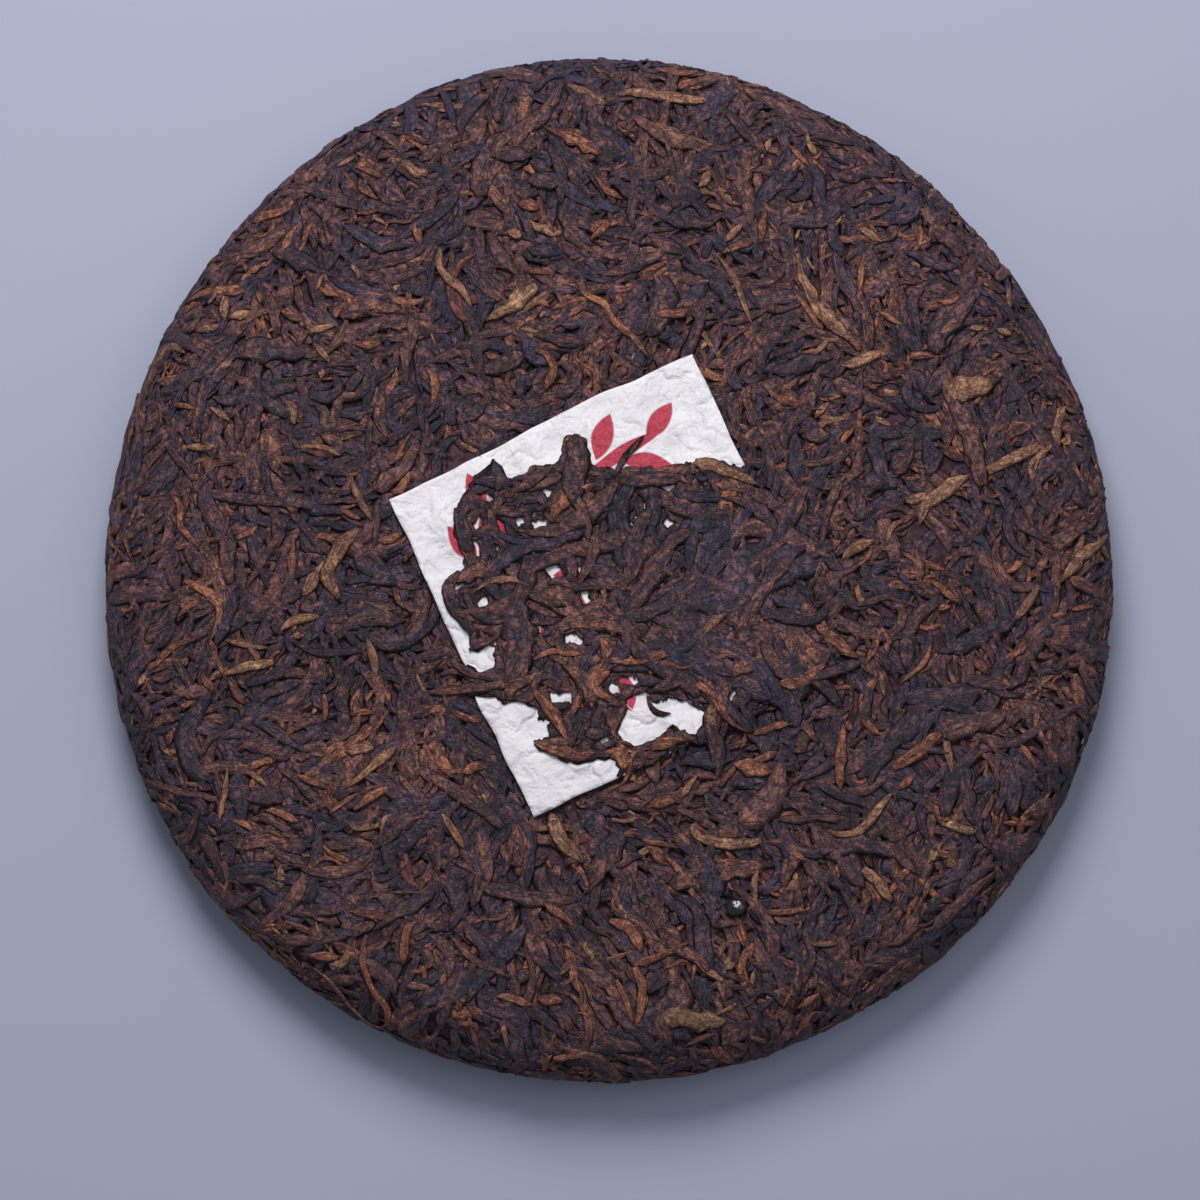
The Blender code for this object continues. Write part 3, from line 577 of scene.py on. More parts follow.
class Bed:
    """A square grid over one side: how high the leaves lie there, and which leaf is on top."""

    def __init__(self, front, reach, limit, rng):
        self.front, self.reach = front, reach
        self.count = int(2 * reach / CELL) + 3
        steps = (np.arange(self.count) - self.count / 2) * CELL
        self.x, self.y = np.meshgrid(steps, steps, indexing="ij")
        shape = self.x.shape
        self.owner = np.full(shape, NOTHING)
        self.closed = np.zeros(shape, bool)
        self.outside = np.zeros(shape, bool)
        self.least = np.full(shape, -np.inf)
        along = np.hypot(self.x, self.y)
        self.within = along < reach
        bumps = blurred(rng.normal(size=shape), 2, int(BUMP_SPACING / CELL))
        self.limit = limit + BUMP * bumps / bumps.std() / 2
        self.limit -= RIM_DROP * np.maximum(along - (EQUATOR if front else WHOLE - EQUATOR), 0)
        loose = blurred(rng.normal(size=shape), 2, int(LOOSE_SPACING / CELL))
        self.loose = 1 / (1 + np.exp(-LOOSE_CONTRAST * loose / loose.std()))
        self.height = self.limit - FIRST_LAYER
        self.leaves = []

    def cells(self, x, y):
        i, j = (np.clip((v / CELL + self.count / 2).round().astype(int), 0, self.count - 1) for v in (x, y))
        return i * self.count + j

    def pressed(self, cells, heights, rise):
        """Heights pressed towards the limit, as cloth and stone press a cake."""
        loose = self.loose.ravel()[cells]
        limit = self.limit.ravel()[cells] + rise
        up, down = (low + (high - low) * loose for low, high in (PRESSED_UP, PRESSED_DOWN))
        off = heights - limit
        return limit + np.where(off > 0, up * np.tanh(off / up), down * np.tanh(off / down))

    def put(self, cells, heights, owner):
        """Raises the grid to these heights where they are above it."""
        cells, heights = cells.ravel(), heights.ravel()
        flat, owners = self.height.ravel(), self.owner.ravel()
        higher = heights > flat[cells]
        cells, heights = cells[higher], heights[higher]
        order = np.argsort(heights)
        flat[cells[order]] = heights[order]
        owners[cells[order]] = owner


def wander(rng, share, length, size, spacing):
    """A value that drifts about 0 along a leaf, drawn anew at each spacing."""
    knots = max(3, int(length / spacing) + 2)
    return size * np.interp(share * (knots - 1), np.arange(knots), rng.normal(size=knots))


def leaf_body(share, rng):
    """The width along a leaf, with blunt or drawn-out ends."""
    blunt = rng.uniform(*BLUNTNESS)
    lean = math.exp(rng.normal(0, LEAN))
    return np.sin(math.pi * np.clip(share, LEAST_END, 1 - LEAST_END) ** lean) ** blunt


def spaced_rows(ahead, step):
    """Which points of a leaf's line get corners: closer together where it turns."""
    turned = abs(ahead[1:, 0] * ahead[:-1, 1] - ahead[1:, 1] * ahead[:-1, 0])
    weight = np.concatenate([[0], np.cumsum(LINE_STEP / step + turned / ROW_TURN)])
    places = np.linspace(0, weight[-1], max(5, int(weight[-1]) + 2))
    return np.unique(np.interp(places, weight, np.arange(len(weight))).round().astype(int))


def directions(line):
    """The directions ahead and to the left all along a line."""
    ahead = np.gradient(line, axis=0)
    ahead /= np.linalg.norm(ahead, axis=1)[:, None] + 1e-9
    return ahead, np.stack([-ahead[:, 1], ahead[:, 0]], 1)


def lay_leaf(bed, line, width, kind, rng, rise=0.0, lift=0.0):
    """Drapes a leaf over the bed along its line. Returns False if it would cover what stays bare."""
    share = np.linspace(0, 1, len(line))
    ahead, left = directions(line)
    length = len(line) * LINE_STEP
    body = width / 2 * leaf_body(share, rng)
    halves = [body * np.clip(1 + wander(rng, share, length, *EDGE_WANDER), *EDGE_RANGE) for _ in range(2)]

    def spread(rows, columns):
        half = np.where(columns < 0, halves[0][rows, None], halves[1][rows, None]) * columns
        return line[rows, :1] + left[rows, :1] * half, line[rows, 1:] + left[rows, 1:] * half

    every = np.arange(len(line))
    across = np.linspace(-1, 1, max(5, int(width / CELL * 1.3)))
    cells = bed.cells(*spread(every, across))
    if bed.closed.ravel()[cells].any() or bed.outside.ravel()[cells].mean() * length > MOST_OUTSIDE:
        return False
    under = bed.height.ravel()[cells]
    limit = bed.limit.ravel()[cells].mean(1) + rise
    window = int(DRAPE_LENGTH / LINE_STEP)
    middle = smooth(under.mean(1), window) + lift
    middle = limit - SOFT_LIMIT * np.logaddexp(0, (limit - middle) / SOFT_LIMIT)
    slope = smooth(np.clip((under[:, -1] - under[:, 0]) / 2, -MOST_SLOPE, MOST_SLOPE), window) * SLOPE_KEPT
    crown = (CROWN + CROWN_SPREAD * rng.normal()) * width**0.8
    fold = wander(rng, share, length, *FOLD_WANDER)
    groove, grooves = rng.uniform(*GROOVE_DEPTH) * width**0.5, rng.uniform(*GROOVE_COUNT)
    drift = rng.uniform(0, TURN) + wander(rng, share, length, *GROOVE_WANDER)
    wave = wander(rng, share, length, *WAVE_WANDER)
    tilt = slope + wander(rng, share, length, *TILT_WANDER)

    def top(rows, columns):
        u = columns[None, :]
        body = 1 - abs(u) ** CROWN_FLATNESS
        shape = crown * body * (1 + fold[rows, None] * u)
        shape = shape + groove * body * np.cos(math.pi * grooves * u + drift[rows, None])
        return middle[rows, None] + wave[rows, None] + tilt[rows, None] * u + shape

    heights = bed.pressed(cells, top(every, across), rise)
    heights = np.maximum(heights, bed.least.ravel()[cells] + GRID_OVER_PAPER)
    bed.put(cells, heights, len(bed.leaves))

    rows = spaced_rows(ahead, FRONT_STEP if bed.front else BACK_STEP)
    columns = BROAD_COLUMNS if bed.front and width > NARROW_LEAF else NARROW_COLUMNS
    px, py = spread(rows, columns)
    places = bed.cells(px, py)
    height = bed.pressed(places, top(rows, columns), rise)
    height[:, -1] = height.min(1) - KEEL_DEPTH
    height = np.maximum(height, bed.least.ravel()[places] + LEAF_OVER_PAPER)
    offset = rng.uniform(0, 100, 2)
    along = share[rows, None] * len(line) * LINE_STEP / 10 + offset[0]
    bed.leaves.append({
        "kind": kind,
        "points": np.stack([px, py, height], -1),
        "uv": np.stack(np.broadcast_arrays(along, columns[None, :]), -1),
        "tone": rng.random(),
        "seed": offset[1],
        "cells": cells.astype(np.int32),
        "rows": rows,
        "on_paper": bed.least.ravel()[cells].max() > 0,
    })
    return True


def curved_line(rng, x, y, heading, length, bend, sway=0.0):
    """A leaf's middle line from its centre, heading, length and bend, in radians."""
    steps = max(8, int(length / LINE_STEP))
    share = np.linspace(-0.5, 0.5, steps)
    turn = heading + bend * share + sway * np.sin(TURN * (share + rng.random()))
    line = np.stack([np.cumsum(np.cos(turn)), np.cumsum(np.sin(turn))], 1) * length / steps
    return line - line[steps // 2] + (x, y)


def path_line(points):
    """A smooth line through places given as they show."""
    points = laid_out(points)
    lengths = np.concatenate([[0], np.cumsum(np.linalg.norm(np.diff(points, axis=0), axis=1))])
    even = np.linspace(0, lengths[-1], max(8, int(lengths[-1] / LINE_STEP)))
    line = np.stack([np.interp(even, lengths, points[:, i]) for i in (0, 1)], 1)
    for _ in range(3):
        ends = line[0].copy(), line[-1].copy()
        line = np.stack([smooth(line[:, i], 7) for i in (0, 1)], 1)
        line[0], line[-1] = ends
    return line


def flow(x, y):
    """The way that neighbouring leaves tend to point."""
    return 2.2 * math.sin(x / 31 + 1.3) + 1.9 * math.cos(y / 27 - 0.4) + 1.5 * math.sin((x + y) / 45)


def drawn(rng, span, spread):
    """A number from a span, the lower ones more often."""
    return span[0] + (span[1] - span[0]) * rng.beta(*spread)


def random_leaf(bed, x, y, rng, size=1.0, rise=0.0, kind=None, lift=None):
    """Lays a leaf of a drawn kind and shape about a place."""
    kind = kind or rng.choice(list(KINDS), p=[drawn_as["share"] for drawn_as in KINDS.values()])
    length = drawn(rng, KINDS[kind]["length"], LENGTH_SPREAD) * size
    width = drawn(rng, KINDS[kind]["width"], WIDTH_SPREAD) * max(size, LEAST_WIDTH_SIZE)
    hooked = rng.random() < HOOKED_SHARE
    bend = np.clip(rng.normal(0, HOOKED_BEND if hooked else USUAL_BEND), -MOST_BEND, MOST_BEND)
    width *= HOOKED_WIDTH if hooked else 1
    if kind in DEEP_KINDS and not hooked and rng.random() < BROAD_SHARE:
        width, length = rng.uniform(*BROAD_WIDTH) * max(size, LEAST_WIDTH_SIZE), length * BROAD_LENGTH
    width = min(width, MOST_BREADTH * length)
    heading = flow(x, y) + rng.normal(0, FLOW_SPREAD if rng.random() < FLOW_SHARE else STRAY_SPREAD)
    line = curved_line(rng, x, y, heading, length, bend, rng.normal(0, SWAY))
    lift = rng.uniform(*USUAL_LIFT) if lift is None else lift
    return lay_leaf(bed, line, width, kind, rng, rise, lift)


def scatter(bed, rng, count, rise=0.0, sizes=(1.0,)):
    """Leaves over a whole side."""
    for _ in range(count):
        along = bed.reach * math.sqrt(rng.random())
        angle = rng.uniform(0, TURN)
        random_leaf(bed, along * math.cos(angle), along * math.sin(angle), rng, rng.choice(sizes), rise)


def places_in(bed, area, count, rng):
    """Drawn places in an area of the bed, or none where the area is empty."""
    cells = np.flatnonzero(area.ravel())
    for cell in rng.choice(cells, count) if len(cells) else ():
        yield bed.x.ravel()[cell], bed.y.ravel()[cell]


def fill(bed, rng):
    """Leaves where the bed is still low, so that no deep gap stays."""
    for _ in range(FILLED // FILLED_AT_ONCE):
        low = (bed.height < bed.limit - LOW_PLACE) & bed.within & ~bed.closed
        for x, y in places_in(bed, low, FILLED_AT_ONCE, rng):
            random_leaf(bed, x, y, rng, rng.choice(FILL_SIZES), lift=rng.uniform(*FILL_LIFT))


def show_leaves(bed, rng):
    """The leaves that stand out on the front."""
    for kind, leaves in SHOWN_LEAVES.items():
        for x, y, length, width, heading, *bend in leaves:
            centre = laid_out([(x, y)])[0]
            heading, bend = math.radians(heading), math.radians(sum(bend))
            line = curved_line(rng, *centre, heading, length, bend, SHOWN_SWAY)
            lay_leaf(bed, line, width, kind, rng, SHOWN_RISE, SHOWN_LIFT)
    for kind, paths in SHOWN_PATHS.items():
        for width, *points in paths:
            lay_leaf(bed, path_line(points), width, kind, rng, SHOWN_RISE, SHOWN_LIFT)


def lay_side(bed, rng):
    """The many leaves of one side, in the order in which they are laid."""
    scatter(bed, rng, SCATTERED)
    if bed.front:
        bed.closed = in_gap(POCKET, bed.x, bed.y)
    fill(bed, rng)
    scatter(bed, rng, LAID_LAST, LAST_RISE, LAST_SIZES)


def front_leaves(rng):
    bed = Bed(True, FRONT_REACH, FRONT_LIMIT, rng)
    crust = inside(laid_out(CRUST_OUTLINE), bed.x, bed.y) & ~inside(laid_out(PAPER_WINDOW), bed.x, bed.y)
    gaps = np.any([in_gap(gap, bed.x, bed.y) for gap in PAPER_GAPS], 0)
    crust &= ~gaps
    ticket = in_ticket(bed.x, bed.y)
    sunk = in_ticket(bed.x, bed.y, UNDER_MARGIN).astype(float)
    sunk = UNDER_TICKET * blurred(sunk, 2, int(UNDER_EDGE / CELL))
    bed.limit -= sunk
    bed.height -= sunk
    lay_side(bed, rng)
    show_leaves(bed, rng)
    bed.limit += sunk

    bed.height[ticket] = np.maximum(bed.height[ticket], PAPER_TOP)
    bed.owner[ticket] = PAPER
    bed.least[in_ticket(bed.x, bed.y, 0.3)] = OVER_PAPER
    bed.closed |= gaps & ticket
    bed.outside = ticket & ~crust & ~gaps
    region = (crust & in_ticket(bed.x, bed.y, CRUST_MARGIN)).astype(float)
    region = blurred(region, 2, int(CRUST_MARGIN / CELL))
    bed.limit += (CRUST_LIMIT - FRONT_LIMIT) * region
    cover_crust(bed, crust & ticket, rng)
    return bed


def hem(bed, line, rng):
    """Leaves along a line, on its left, so that leaf edges make it."""
    left = directions(line)[1]
    start = 0
    while start < len(line) - 6:
        width = rng.uniform(*HEM_WIDTH)
        count = int(rng.uniform(*HEM_LENGTH) * width / LINE_STEP)
        part = (line + left * (width / 2 - HEM_OVERLAP))[start:start + count]
        if len(part) > 5 and in_ticket(*part.mean(0), 1):
            kind = rng.choice(("dark", "brown", "rust"), p=HEM_SHARES)
            lay_leaf(bed, part, width, kind, rng, 0, rng.uniform(*HEM_LIFT))
        start += int(count * rng.uniform(*HEM_ADVANCE))


def edge_gap(bed, gap, rng):
    """Short leaves that touch a small gap's oval, so that straight leaf edges bound it."""
    x, y, length, width, heading = gap
    centre, heading = laid_out([(x, y)])[0], math.radians(heading)
    turn = np.array([[math.cos(heading), -math.sin(heading)], [math.sin(heading), math.cos(heading)]])
    start = rng.uniform(0, TURN)
    for i in range(LEAVES_BY_GAP):
        angle = start + TURN * i / LEAVES_BY_GAP + rng.normal(0, 0.25)
        touch = centre + turn @ (length / 2 * math.cos(angle), width / 2 * math.sin(angle))
        out = turn @ (width * math.cos(angle), length * math.sin(angle))
        out /= np.linalg.norm(out)
        breadth = rng.uniform(*GAP_LEAF_WIDTH)
        x, y = touch + out * (breadth / 2 + 0.1)
        along = math.atan2(out[0], -out[1]) + rng.normal(0, 0.2)
        line = curved_line(rng, x, y, along, rng.uniform(*GAP_LEAF_LENGTH), rng.normal(0, 0.3))
        lay_leaf(bed, line, breadth, rng.choice(("dark", "brown")), rng, 0, rng.uniform(*HEM_LIFT))


def close_paper(bed, area, tries, sizes, rng):
    """Small leaves where paper still shows and none should."""
    for _ in range(tries):
        for x, y in places_in(bed, area & (bed.owner == PAPER), CLOSED_AT_ONCE, rng):
            size, kind = rng.choice(sizes), rng.choice(DEEP_KINDS)
            random_leaf(bed, x, y, rng, size, kind=kind, lift=CLOSING_LIFT)


def cover_crust(bed, area, rng):
    """The leaves over the ticket: small ones that close it, along the outlines and gaps, then large ones."""
    close_paper(bed, area, 150, (0.6, 0.4, 0.28), rng)
    for outline in (CRUST_OUTLINE, PAPER_WINDOW):
        hem(bed, path_line([*outline, outline[0]]), rng)
    for gap in PAPER_GAPS:
        edge_gap(bed, gap, rng)
    close_paper(bed, area, 60, (0.4, 0.25, 0.18), rng)
    places = np.argwhere(area)
    for i in range(CRUST_LEAVES):
        x, y = (places[rng.integers(len(places))] - bed.count / 2) * CELL
        kind = rng.choice(list(CRUST_KINDS), p=list(CRUST_KINDS.values()))
        for size in CRUST_SIZES:
            rise = CRUST_RISE * i / CRUST_LEAVES
            if random_leaf(bed, x, y, rng, size, rise, kind, rng.uniform(0, CRUST_LIFT)):
                break
    over_ticket = in_ticket(bed.x, bed.y)
    bed.outside, bed.closed = bed.closed & over_ticket, bed.closed & ~over_ticket
    for kind, width, *points in CRUST_PATHS:
        lay_leaf(bed, path_line(points), width, kind, rng, CRUST_RISE, CRUST_LIFT)


def back_leaves(rng):
    bed = Bed(False, BACK_REACH, BACK_LIMIT, rng)
    lay_side(bed, rng)
    return bed


def grid_faces(rows, columns, closed=True):
    """The faces between rows of corners. A closed row is a ring."""
    after = [*range(1, columns), *([0] if closed else [])]
    return [
        (i * columns + j, (i + 1) * columns + j, (i + 1) * columns + k, i * columns + k)
        for i in range(rows - 1) for j, k in zip(range(columns), after)
    ]


def ring_faces(stations, ring, flip):
    """The faces of one leaf: rings of corners joined one to the next, with an end cap on both ends."""
    faces = grid_faces(stations, ring)
    faces.append(tuple(range(ring)))
    faces.append(tuple((stations - 1) * ring + j for j in reversed(range(ring))))
    return [face[::-1] for face in faces] if flip else faces


def smooth_mesh(name, points, faces, material):
    """A mesh from points in millimetres."""
    mesh = bpy.data.meshes.new(name)
    mesh.from_pydata((points * MM).tolist(), [], faces)
    mesh.shade_smooth()
    mesh.materials.append(material)
    return mesh


def add_layer(mesh, name, places):
    """A UV layer from a place for each point."""
    corners = np.empty(len(mesh.loops), np.int32)
    mesh.loops.foreach_get("vertex_index", corners)
    layer = mesh.uv_layers.new(name=name)
    layer.data.foreach_set("uv", places[corners].astype(np.float32).ravel())


def leaf_piece(name, leaves, front, material):
    """One mesh of all the leaves of a kind on one side."""
    patterns = {}
    faces, start = [], 0
    for leaf in leaves:
        size = leaf["points"].shape[:2]
        if size not in patterns:
            patterns[size] = ring_faces(*size, not front)
        faces.extend([tuple(start + corner for corner in face) for face in patterns[size]])
        start += size[0] * size[1]
    flat = np.concatenate([leaf["points"].reshape(-1, 3) for leaf in leaves])
    mesh = smooth_mesh(name, on_cake(flat[:, 0], flat[:, 1], flat[:, 2], front), faces, material)
    counts = [leaf["points"][..., 0].size for leaf in leaves]
    for label in ("tone", "seed"):
        values = np.repeat([leaf[label] for leaf in leaves], counts)
        attribute = mesh.attributes.new(label, "FLOAT", "POINT")
        attribute.data.foreach_set("value", values.astype(np.float32))
    add_layer(mesh, "leaf", np.concatenate([leaf["uv"].reshape(-1, 2) for leaf in leaves]))
    add_piece(name, mesh)


def add_piece(name, mesh):
    piece = bpy.data.objects.new(name, mesh)
    bpy.context.scene.collection.objects.link(piece)
    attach(piece, "root")
    return piece


def cut_back(leaf, number, owner):
    """Cuts off what others hide of a leaf's ends, a little past the part that shows."""
    shown = np.flatnonzero((owner[leaf["cells"]] == number).any(1))
    if len(shown):
        first = max(np.searchsorted(leaf["rows"], shown[0] - ROW_MARGIN, "right") - 1, 0)
        last = np.searchsorted(leaf["rows"], shown[-1] + ROW_MARGIN) + 1
        leaf["points"], leaf["uv"] = leaf["points"][first:last], leaf["uv"][first:last]


def dress(bed, materials):
    """Makes the meshes of one side, without the leaves that others hide."""
    shown = np.bincount(bed.owner[bed.owner >= 0].ravel(), minlength=len(bed.leaves))
    for number, leaf in enumerate(bed.leaves):
        cut_back(leaf, number, bed.owner.ravel())
    side = "front" if bed.front else "back"
    for kind in KINDS:
        leaves = [
            leaf for leaf, cells in zip(bed.leaves, shown)
            if leaf["kind"] == kind and cells > (LEAST_ON_PAPER if leaf["on_paper"] else LEAST_CELLS)
        ]
        leaf_piece(f"{side}_{kind}_leaves", leaves, bed.front, materials[kind])


def linear(colour):
    """A colour of 0 to 255 as a shader's linear value."""
    values = [value / 255 for value in colour]
    return (*[v / 12.92 if v < 0.04045 else ((v + 0.055) / 1.055) ** 2.4 for v in values], 1)


class Nodes:
    """Short ways to add and join a material's nodes."""

    def __init__(self, name):
        self.material = bpy.data.materials.new(name)
        self.material.use_nodes = True
        self.tree = self.material.node_tree
        self.shader = self.tree.nodes["Principled BSDF"]

    def join(self, value, socket):
        if isinstance(value, bpy.types.NodeSocket):
            self.tree.links.new(value, socket)
        elif value is not None:
            socket.default_value = value

    def add(self, kind, inputs=(), **settings):
        """A node with its settings, and its inputs by name or number."""
        node = self.tree.nodes.new(kind)
        for key, value in settings.items():
            setattr(node, key, value)
        for key, value in dict(inputs).items():
            self.join(value, node.inputs[key])
        return node

    def math(self, operation, a, b=None):
        return self.add("ShaderNodeMath", {0: a, 1: b}, operation=operation).outputs[0]

    def times(self, a, b):
        return self.math("MULTIPLY", a, b)

    def plus(self, value, more, share):
        """The value with a share of another one."""
        return self.math("ADD", value, self.times(more, share))

    def off_middle(self, value):
        return self.math("SUBTRACT", value, 0.5)

    def line(self, value, width):
        """0 in a thin line where the value crosses its middle, rising to 1 beside it."""
        return self.stretch(self.math("ABSOLUTE", self.off_middle(value)), 0, width)

    def mix(self, share, a, b, blend="MIX"):
        inputs = {"Factor": share, 6: a, 7: b}
        return self.add("ShaderNodeMix", inputs, data_type="RGBA", blend_type=blend).outputs[2]

    def noise(self, place, scale, detail=2.0, rough=0.55):
        inputs = {"Vector": place, "Scale": scale, "Detail": detail, "Roughness": rough}
        return self.add("ShaderNodeTexNoise", inputs).outputs["Fac"]

    def where(self):
        return self.add("ShaderNodeTexCoord").outputs["Object"]

    def attribute(self, name):
        return self.add("ShaderNodeAttribute", attribute_name=name).outputs["Fac"]

    def stretch(self, value, low, high, start=0.0, end=1.0):
        inputs = {"Value": value, "From Min": low, "From Max": high, "To Min": start, "To Max": end}
        return self.add("ShaderNodeMapRange", inputs).outputs[0]

    def bump(self, height, distance, onto=None):
        inputs = {"Height": height, "Distance": distance * MM, "Normal": onto}
        return self.add("ShaderNodeBump", inputs).outputs["Normal"]

    def turned(self, vector, x, y, degrees, size_x, size_y):
        """A vector in the axes of a thing that is placed, turned and sized like this."""
        turn = (0, 0, math.radians(degrees))
        inputs = {"Vector": vector, "Location": (x, y, 0), "Rotation": turn, "Scale": (size_x, size_y, 1)}
        return self.add("ShaderNodeMapping", inputs, vector_type="TEXTURE").outputs[0]

    def finish(self, colour, roughness, normal, specular):
        self.join(colour, self.shader.inputs["Base Color"])
        self.join(roughness, self.shader.inputs["Roughness"])
        self.join(normal, self.shader.inputs["Normal"])
        self.shader.inputs["Specular IOR Level"].default_value = specular
        return self.material


def leaf_material(kind):
    """Dry tea leaf: veins and creases along it, mottling, painted shade in fold lines, cracks and towards
    the edges, each leaf in its own tone.
    """
    deep, body, light = (linear(colour) for colour in LEAF_COLOURS[kind])
    nodes = Nodes(f"tea_{kind}")
    split = nodes.add("ShaderNodeSeparateXYZ", {0: nodes.add("ShaderNodeUVMap", uv_map="leaf").outputs[0]})
    along, across = split.outputs[0], split.outputs[1]
    sheet = {0: along, 1: nodes.times(across, 0.55), 2: nodes.attribute("seed")}
    place = nodes.add("ShaderNodeCombineXYZ", sheet).outputs[0]
    veins = nodes.noise(place, 4.2, 5, 0.65)
    folds = nodes.noise(place, 2.4, 1, 0.5)
    where = nodes.where()
    region = nodes.noise(where, 75, 2, 0.6)
    mottle = nodes.noise(where, 640, 4, 0.72)
    cracks = nodes.noise(where, 300, 5, 0.65)
    grain = nodes.noise(where, 1900, 3, 0.7)

    own = nodes.stretch(nodes.attribute("tone"), 0, 1, 0.12, 0.78)
    tone = nodes.plus(own, nodes.off_middle(veins), 2.4)
    colour = nodes.mix(nodes.stretch(tone, 0, 0.8), deep, body)
    patch = nodes.plus(mottle, nodes.off_middle(region), 0.5)
    spots = nodes.times(nodes.stretch(patch, 0.44, 0.6), nodes.stretch(veins, 0.38, 0.54))
    colour = nodes.mix(spots, colour, light)
    # Painted shade: thin lines along folds and cracks, and the leaf's edges, go dark towards half the deep
    # tone, where shade falls between leaves; at the edges it is partly also the leaf's own darker rim.
    edge = nodes.stretch(nodes.math("ABSOLUTE", across), 0.84, 1.0, 1.0, 0.2)
    shaded_creases = nodes.times(nodes.times(nodes.line(folds, 0.03), nodes.line(cracks, 0.035)), edge)
    colour = nodes.mix(nodes.stretch(shaded_creases, 0, 1, 0.6, 0), colour, nodes.mix(0.5, deep, (0, 0, 0, 1)))
    colour = nodes.mix(1.0, colour, nodes.stretch(grain, 0.3, 0.7, 0.56, 1.48), "MULTIPLY")

    normal = nodes.bump(nodes.plus(nodes.times(veins, 0.9), shaded_creases, 0.35), 0.6)
    normal = nodes.bump(nodes.plus(mottle, grain, 0.5), 0.4, normal)
    return nodes.finish(colour, nodes.stretch(mottle, 0.3, 0.7, 0.45, 0.68), normal, 0.42)


def core_material():
    """The pressed leaf mass between the leaves: dark flecks and creases."""
    nodes = Nodes("tea_dust")
    where = nodes.where()
    grain = nodes.noise(where, 900, 4, 0.7)
    flecks = nodes.noise(where, 380, 5, 0.65)
    colour = nodes.mix(nodes.stretch(flecks, 0.4, 0.62), *map(linear, CORE_COLOURS))
    return nodes.finish(colour, 0.7, nodes.bump(nodes.plus(flecks, grain, 0.4), 1.4), 0.3)


def add_core(material):
    """The dark mass under the leaves, turned from the same outline a little further in."""
    rings = np.linspace(CORE_END, WHOLE - CORE_END, CORE_RINGS)
    angles = np.arange(CORE_SIDES) * TURN / CORE_SIDES
    along, angle = (grid.ravel() for grid in np.meshgrid(rings, angles, indexing="ij"))
    middle = np.zeros(1)
    points = np.concatenate([
        on_cake(along * np.cos(angle), along * np.sin(angle), -CORE_DEPTH, True),
        on_cake(middle, middle, -CORE_DEPTH, True),
        on_cake(middle, middle, -CORE_DEPTH, False),
    ])
    faces = grid_faces(CORE_RINGS, CORE_SIDES)
    top, bottom = len(points) - 2, len(points) - 1
    last = (CORE_RINGS - 1) * CORE_SIDES
    for j in range(CORE_SIDES):
        k = (j + 1) % CORE_SIDES
        faces += [(top, j, k), (bottom, last + k, last + j)]
    piece = add_piece("tea_core", smooth_mesh("tea_core", points, faces, material))
    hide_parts("tea_cake")


def wrinkles(x, y):
    """The paper's relief: creases over soft swells, in millimetres."""
    soft = noise.noise(Vector((x / 13, y / 13, 3)))
    crease = 1 - abs(noise.noise(Vector((x / 6, y / 6, 7)))) * 3
    fine = 1 - abs(noise.noise(Vector((x / 3, y / 3, 11)))) * 3
    return 0.25 * soft + 0.16 * max(crease, 0) + 0.06 * max(fine, 0)


def add_paper(material):
    """The ticket: a thin wrinkled sheet on the dome, with two faces and a narrow edge."""
    count = TICKET_CELLS + 1
    shares = np.linspace(-0.5, 0.5, count)
    sheet = np.meshgrid(shares * TICKET_WIDTH, shares * TICKET_HEIGHT, indexing="ij")
    across, upward = (grid.ravel() for grid in sheet)
    x = TICKET_CENTRE[0] + across * math.cos(TICKET_TURN) - upward * math.sin(TICKET_TURN)
    y = TICKET_CENTRE[1] + across * math.sin(TICKET_TURN) + upward * math.cos(TICKET_TURN)
    waver = np.array([noise.noise_vector(Vector((u / 7, v / 7, 5))) for u, v in zip(across, upward)])
    x, y = x + EDGE_WAVER * waver[:, 0], y + EDGE_WAVER * waver[:, 1]
    relief = np.array([wrinkles(u, v) for u, v in zip(across, upward)])
    lift = TICKET_LIFT - 0.1 + np.clip(relief - relief.mean(), *PAPER_RELIEF)
    upper = on_cake(x, y, lift, True)
    lower = on_cake(x, y, lift - TICKET_THICKNESS, True)
    size = count * count
    faces = grid_faces(count, count, closed=False)
    faces += [tuple(size + corner for corner in reversed(face)) for face in faces]
    border = [i * count for i in range(count)] + [(count - 1) * count + j for j in range(1, count)]
    border += [i * count + count - 1 for i in range(count - 2, -1, -1)] + list(range(count - 2, 0, -1))
    faces += [(b, a, size + a, size + b) for a, b in zip(border, border[1:] + border[:1])]
    mesh = smooth_mesh("paper_ticket", np.concatenate([upper, lower]), faces, material)
    add_layer(mesh, "sheet", np.tile(np.stack([across, upward], 1), (2, 1)))
    piece = add_piece("paper_ticket", mesh)
    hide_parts("ticket")


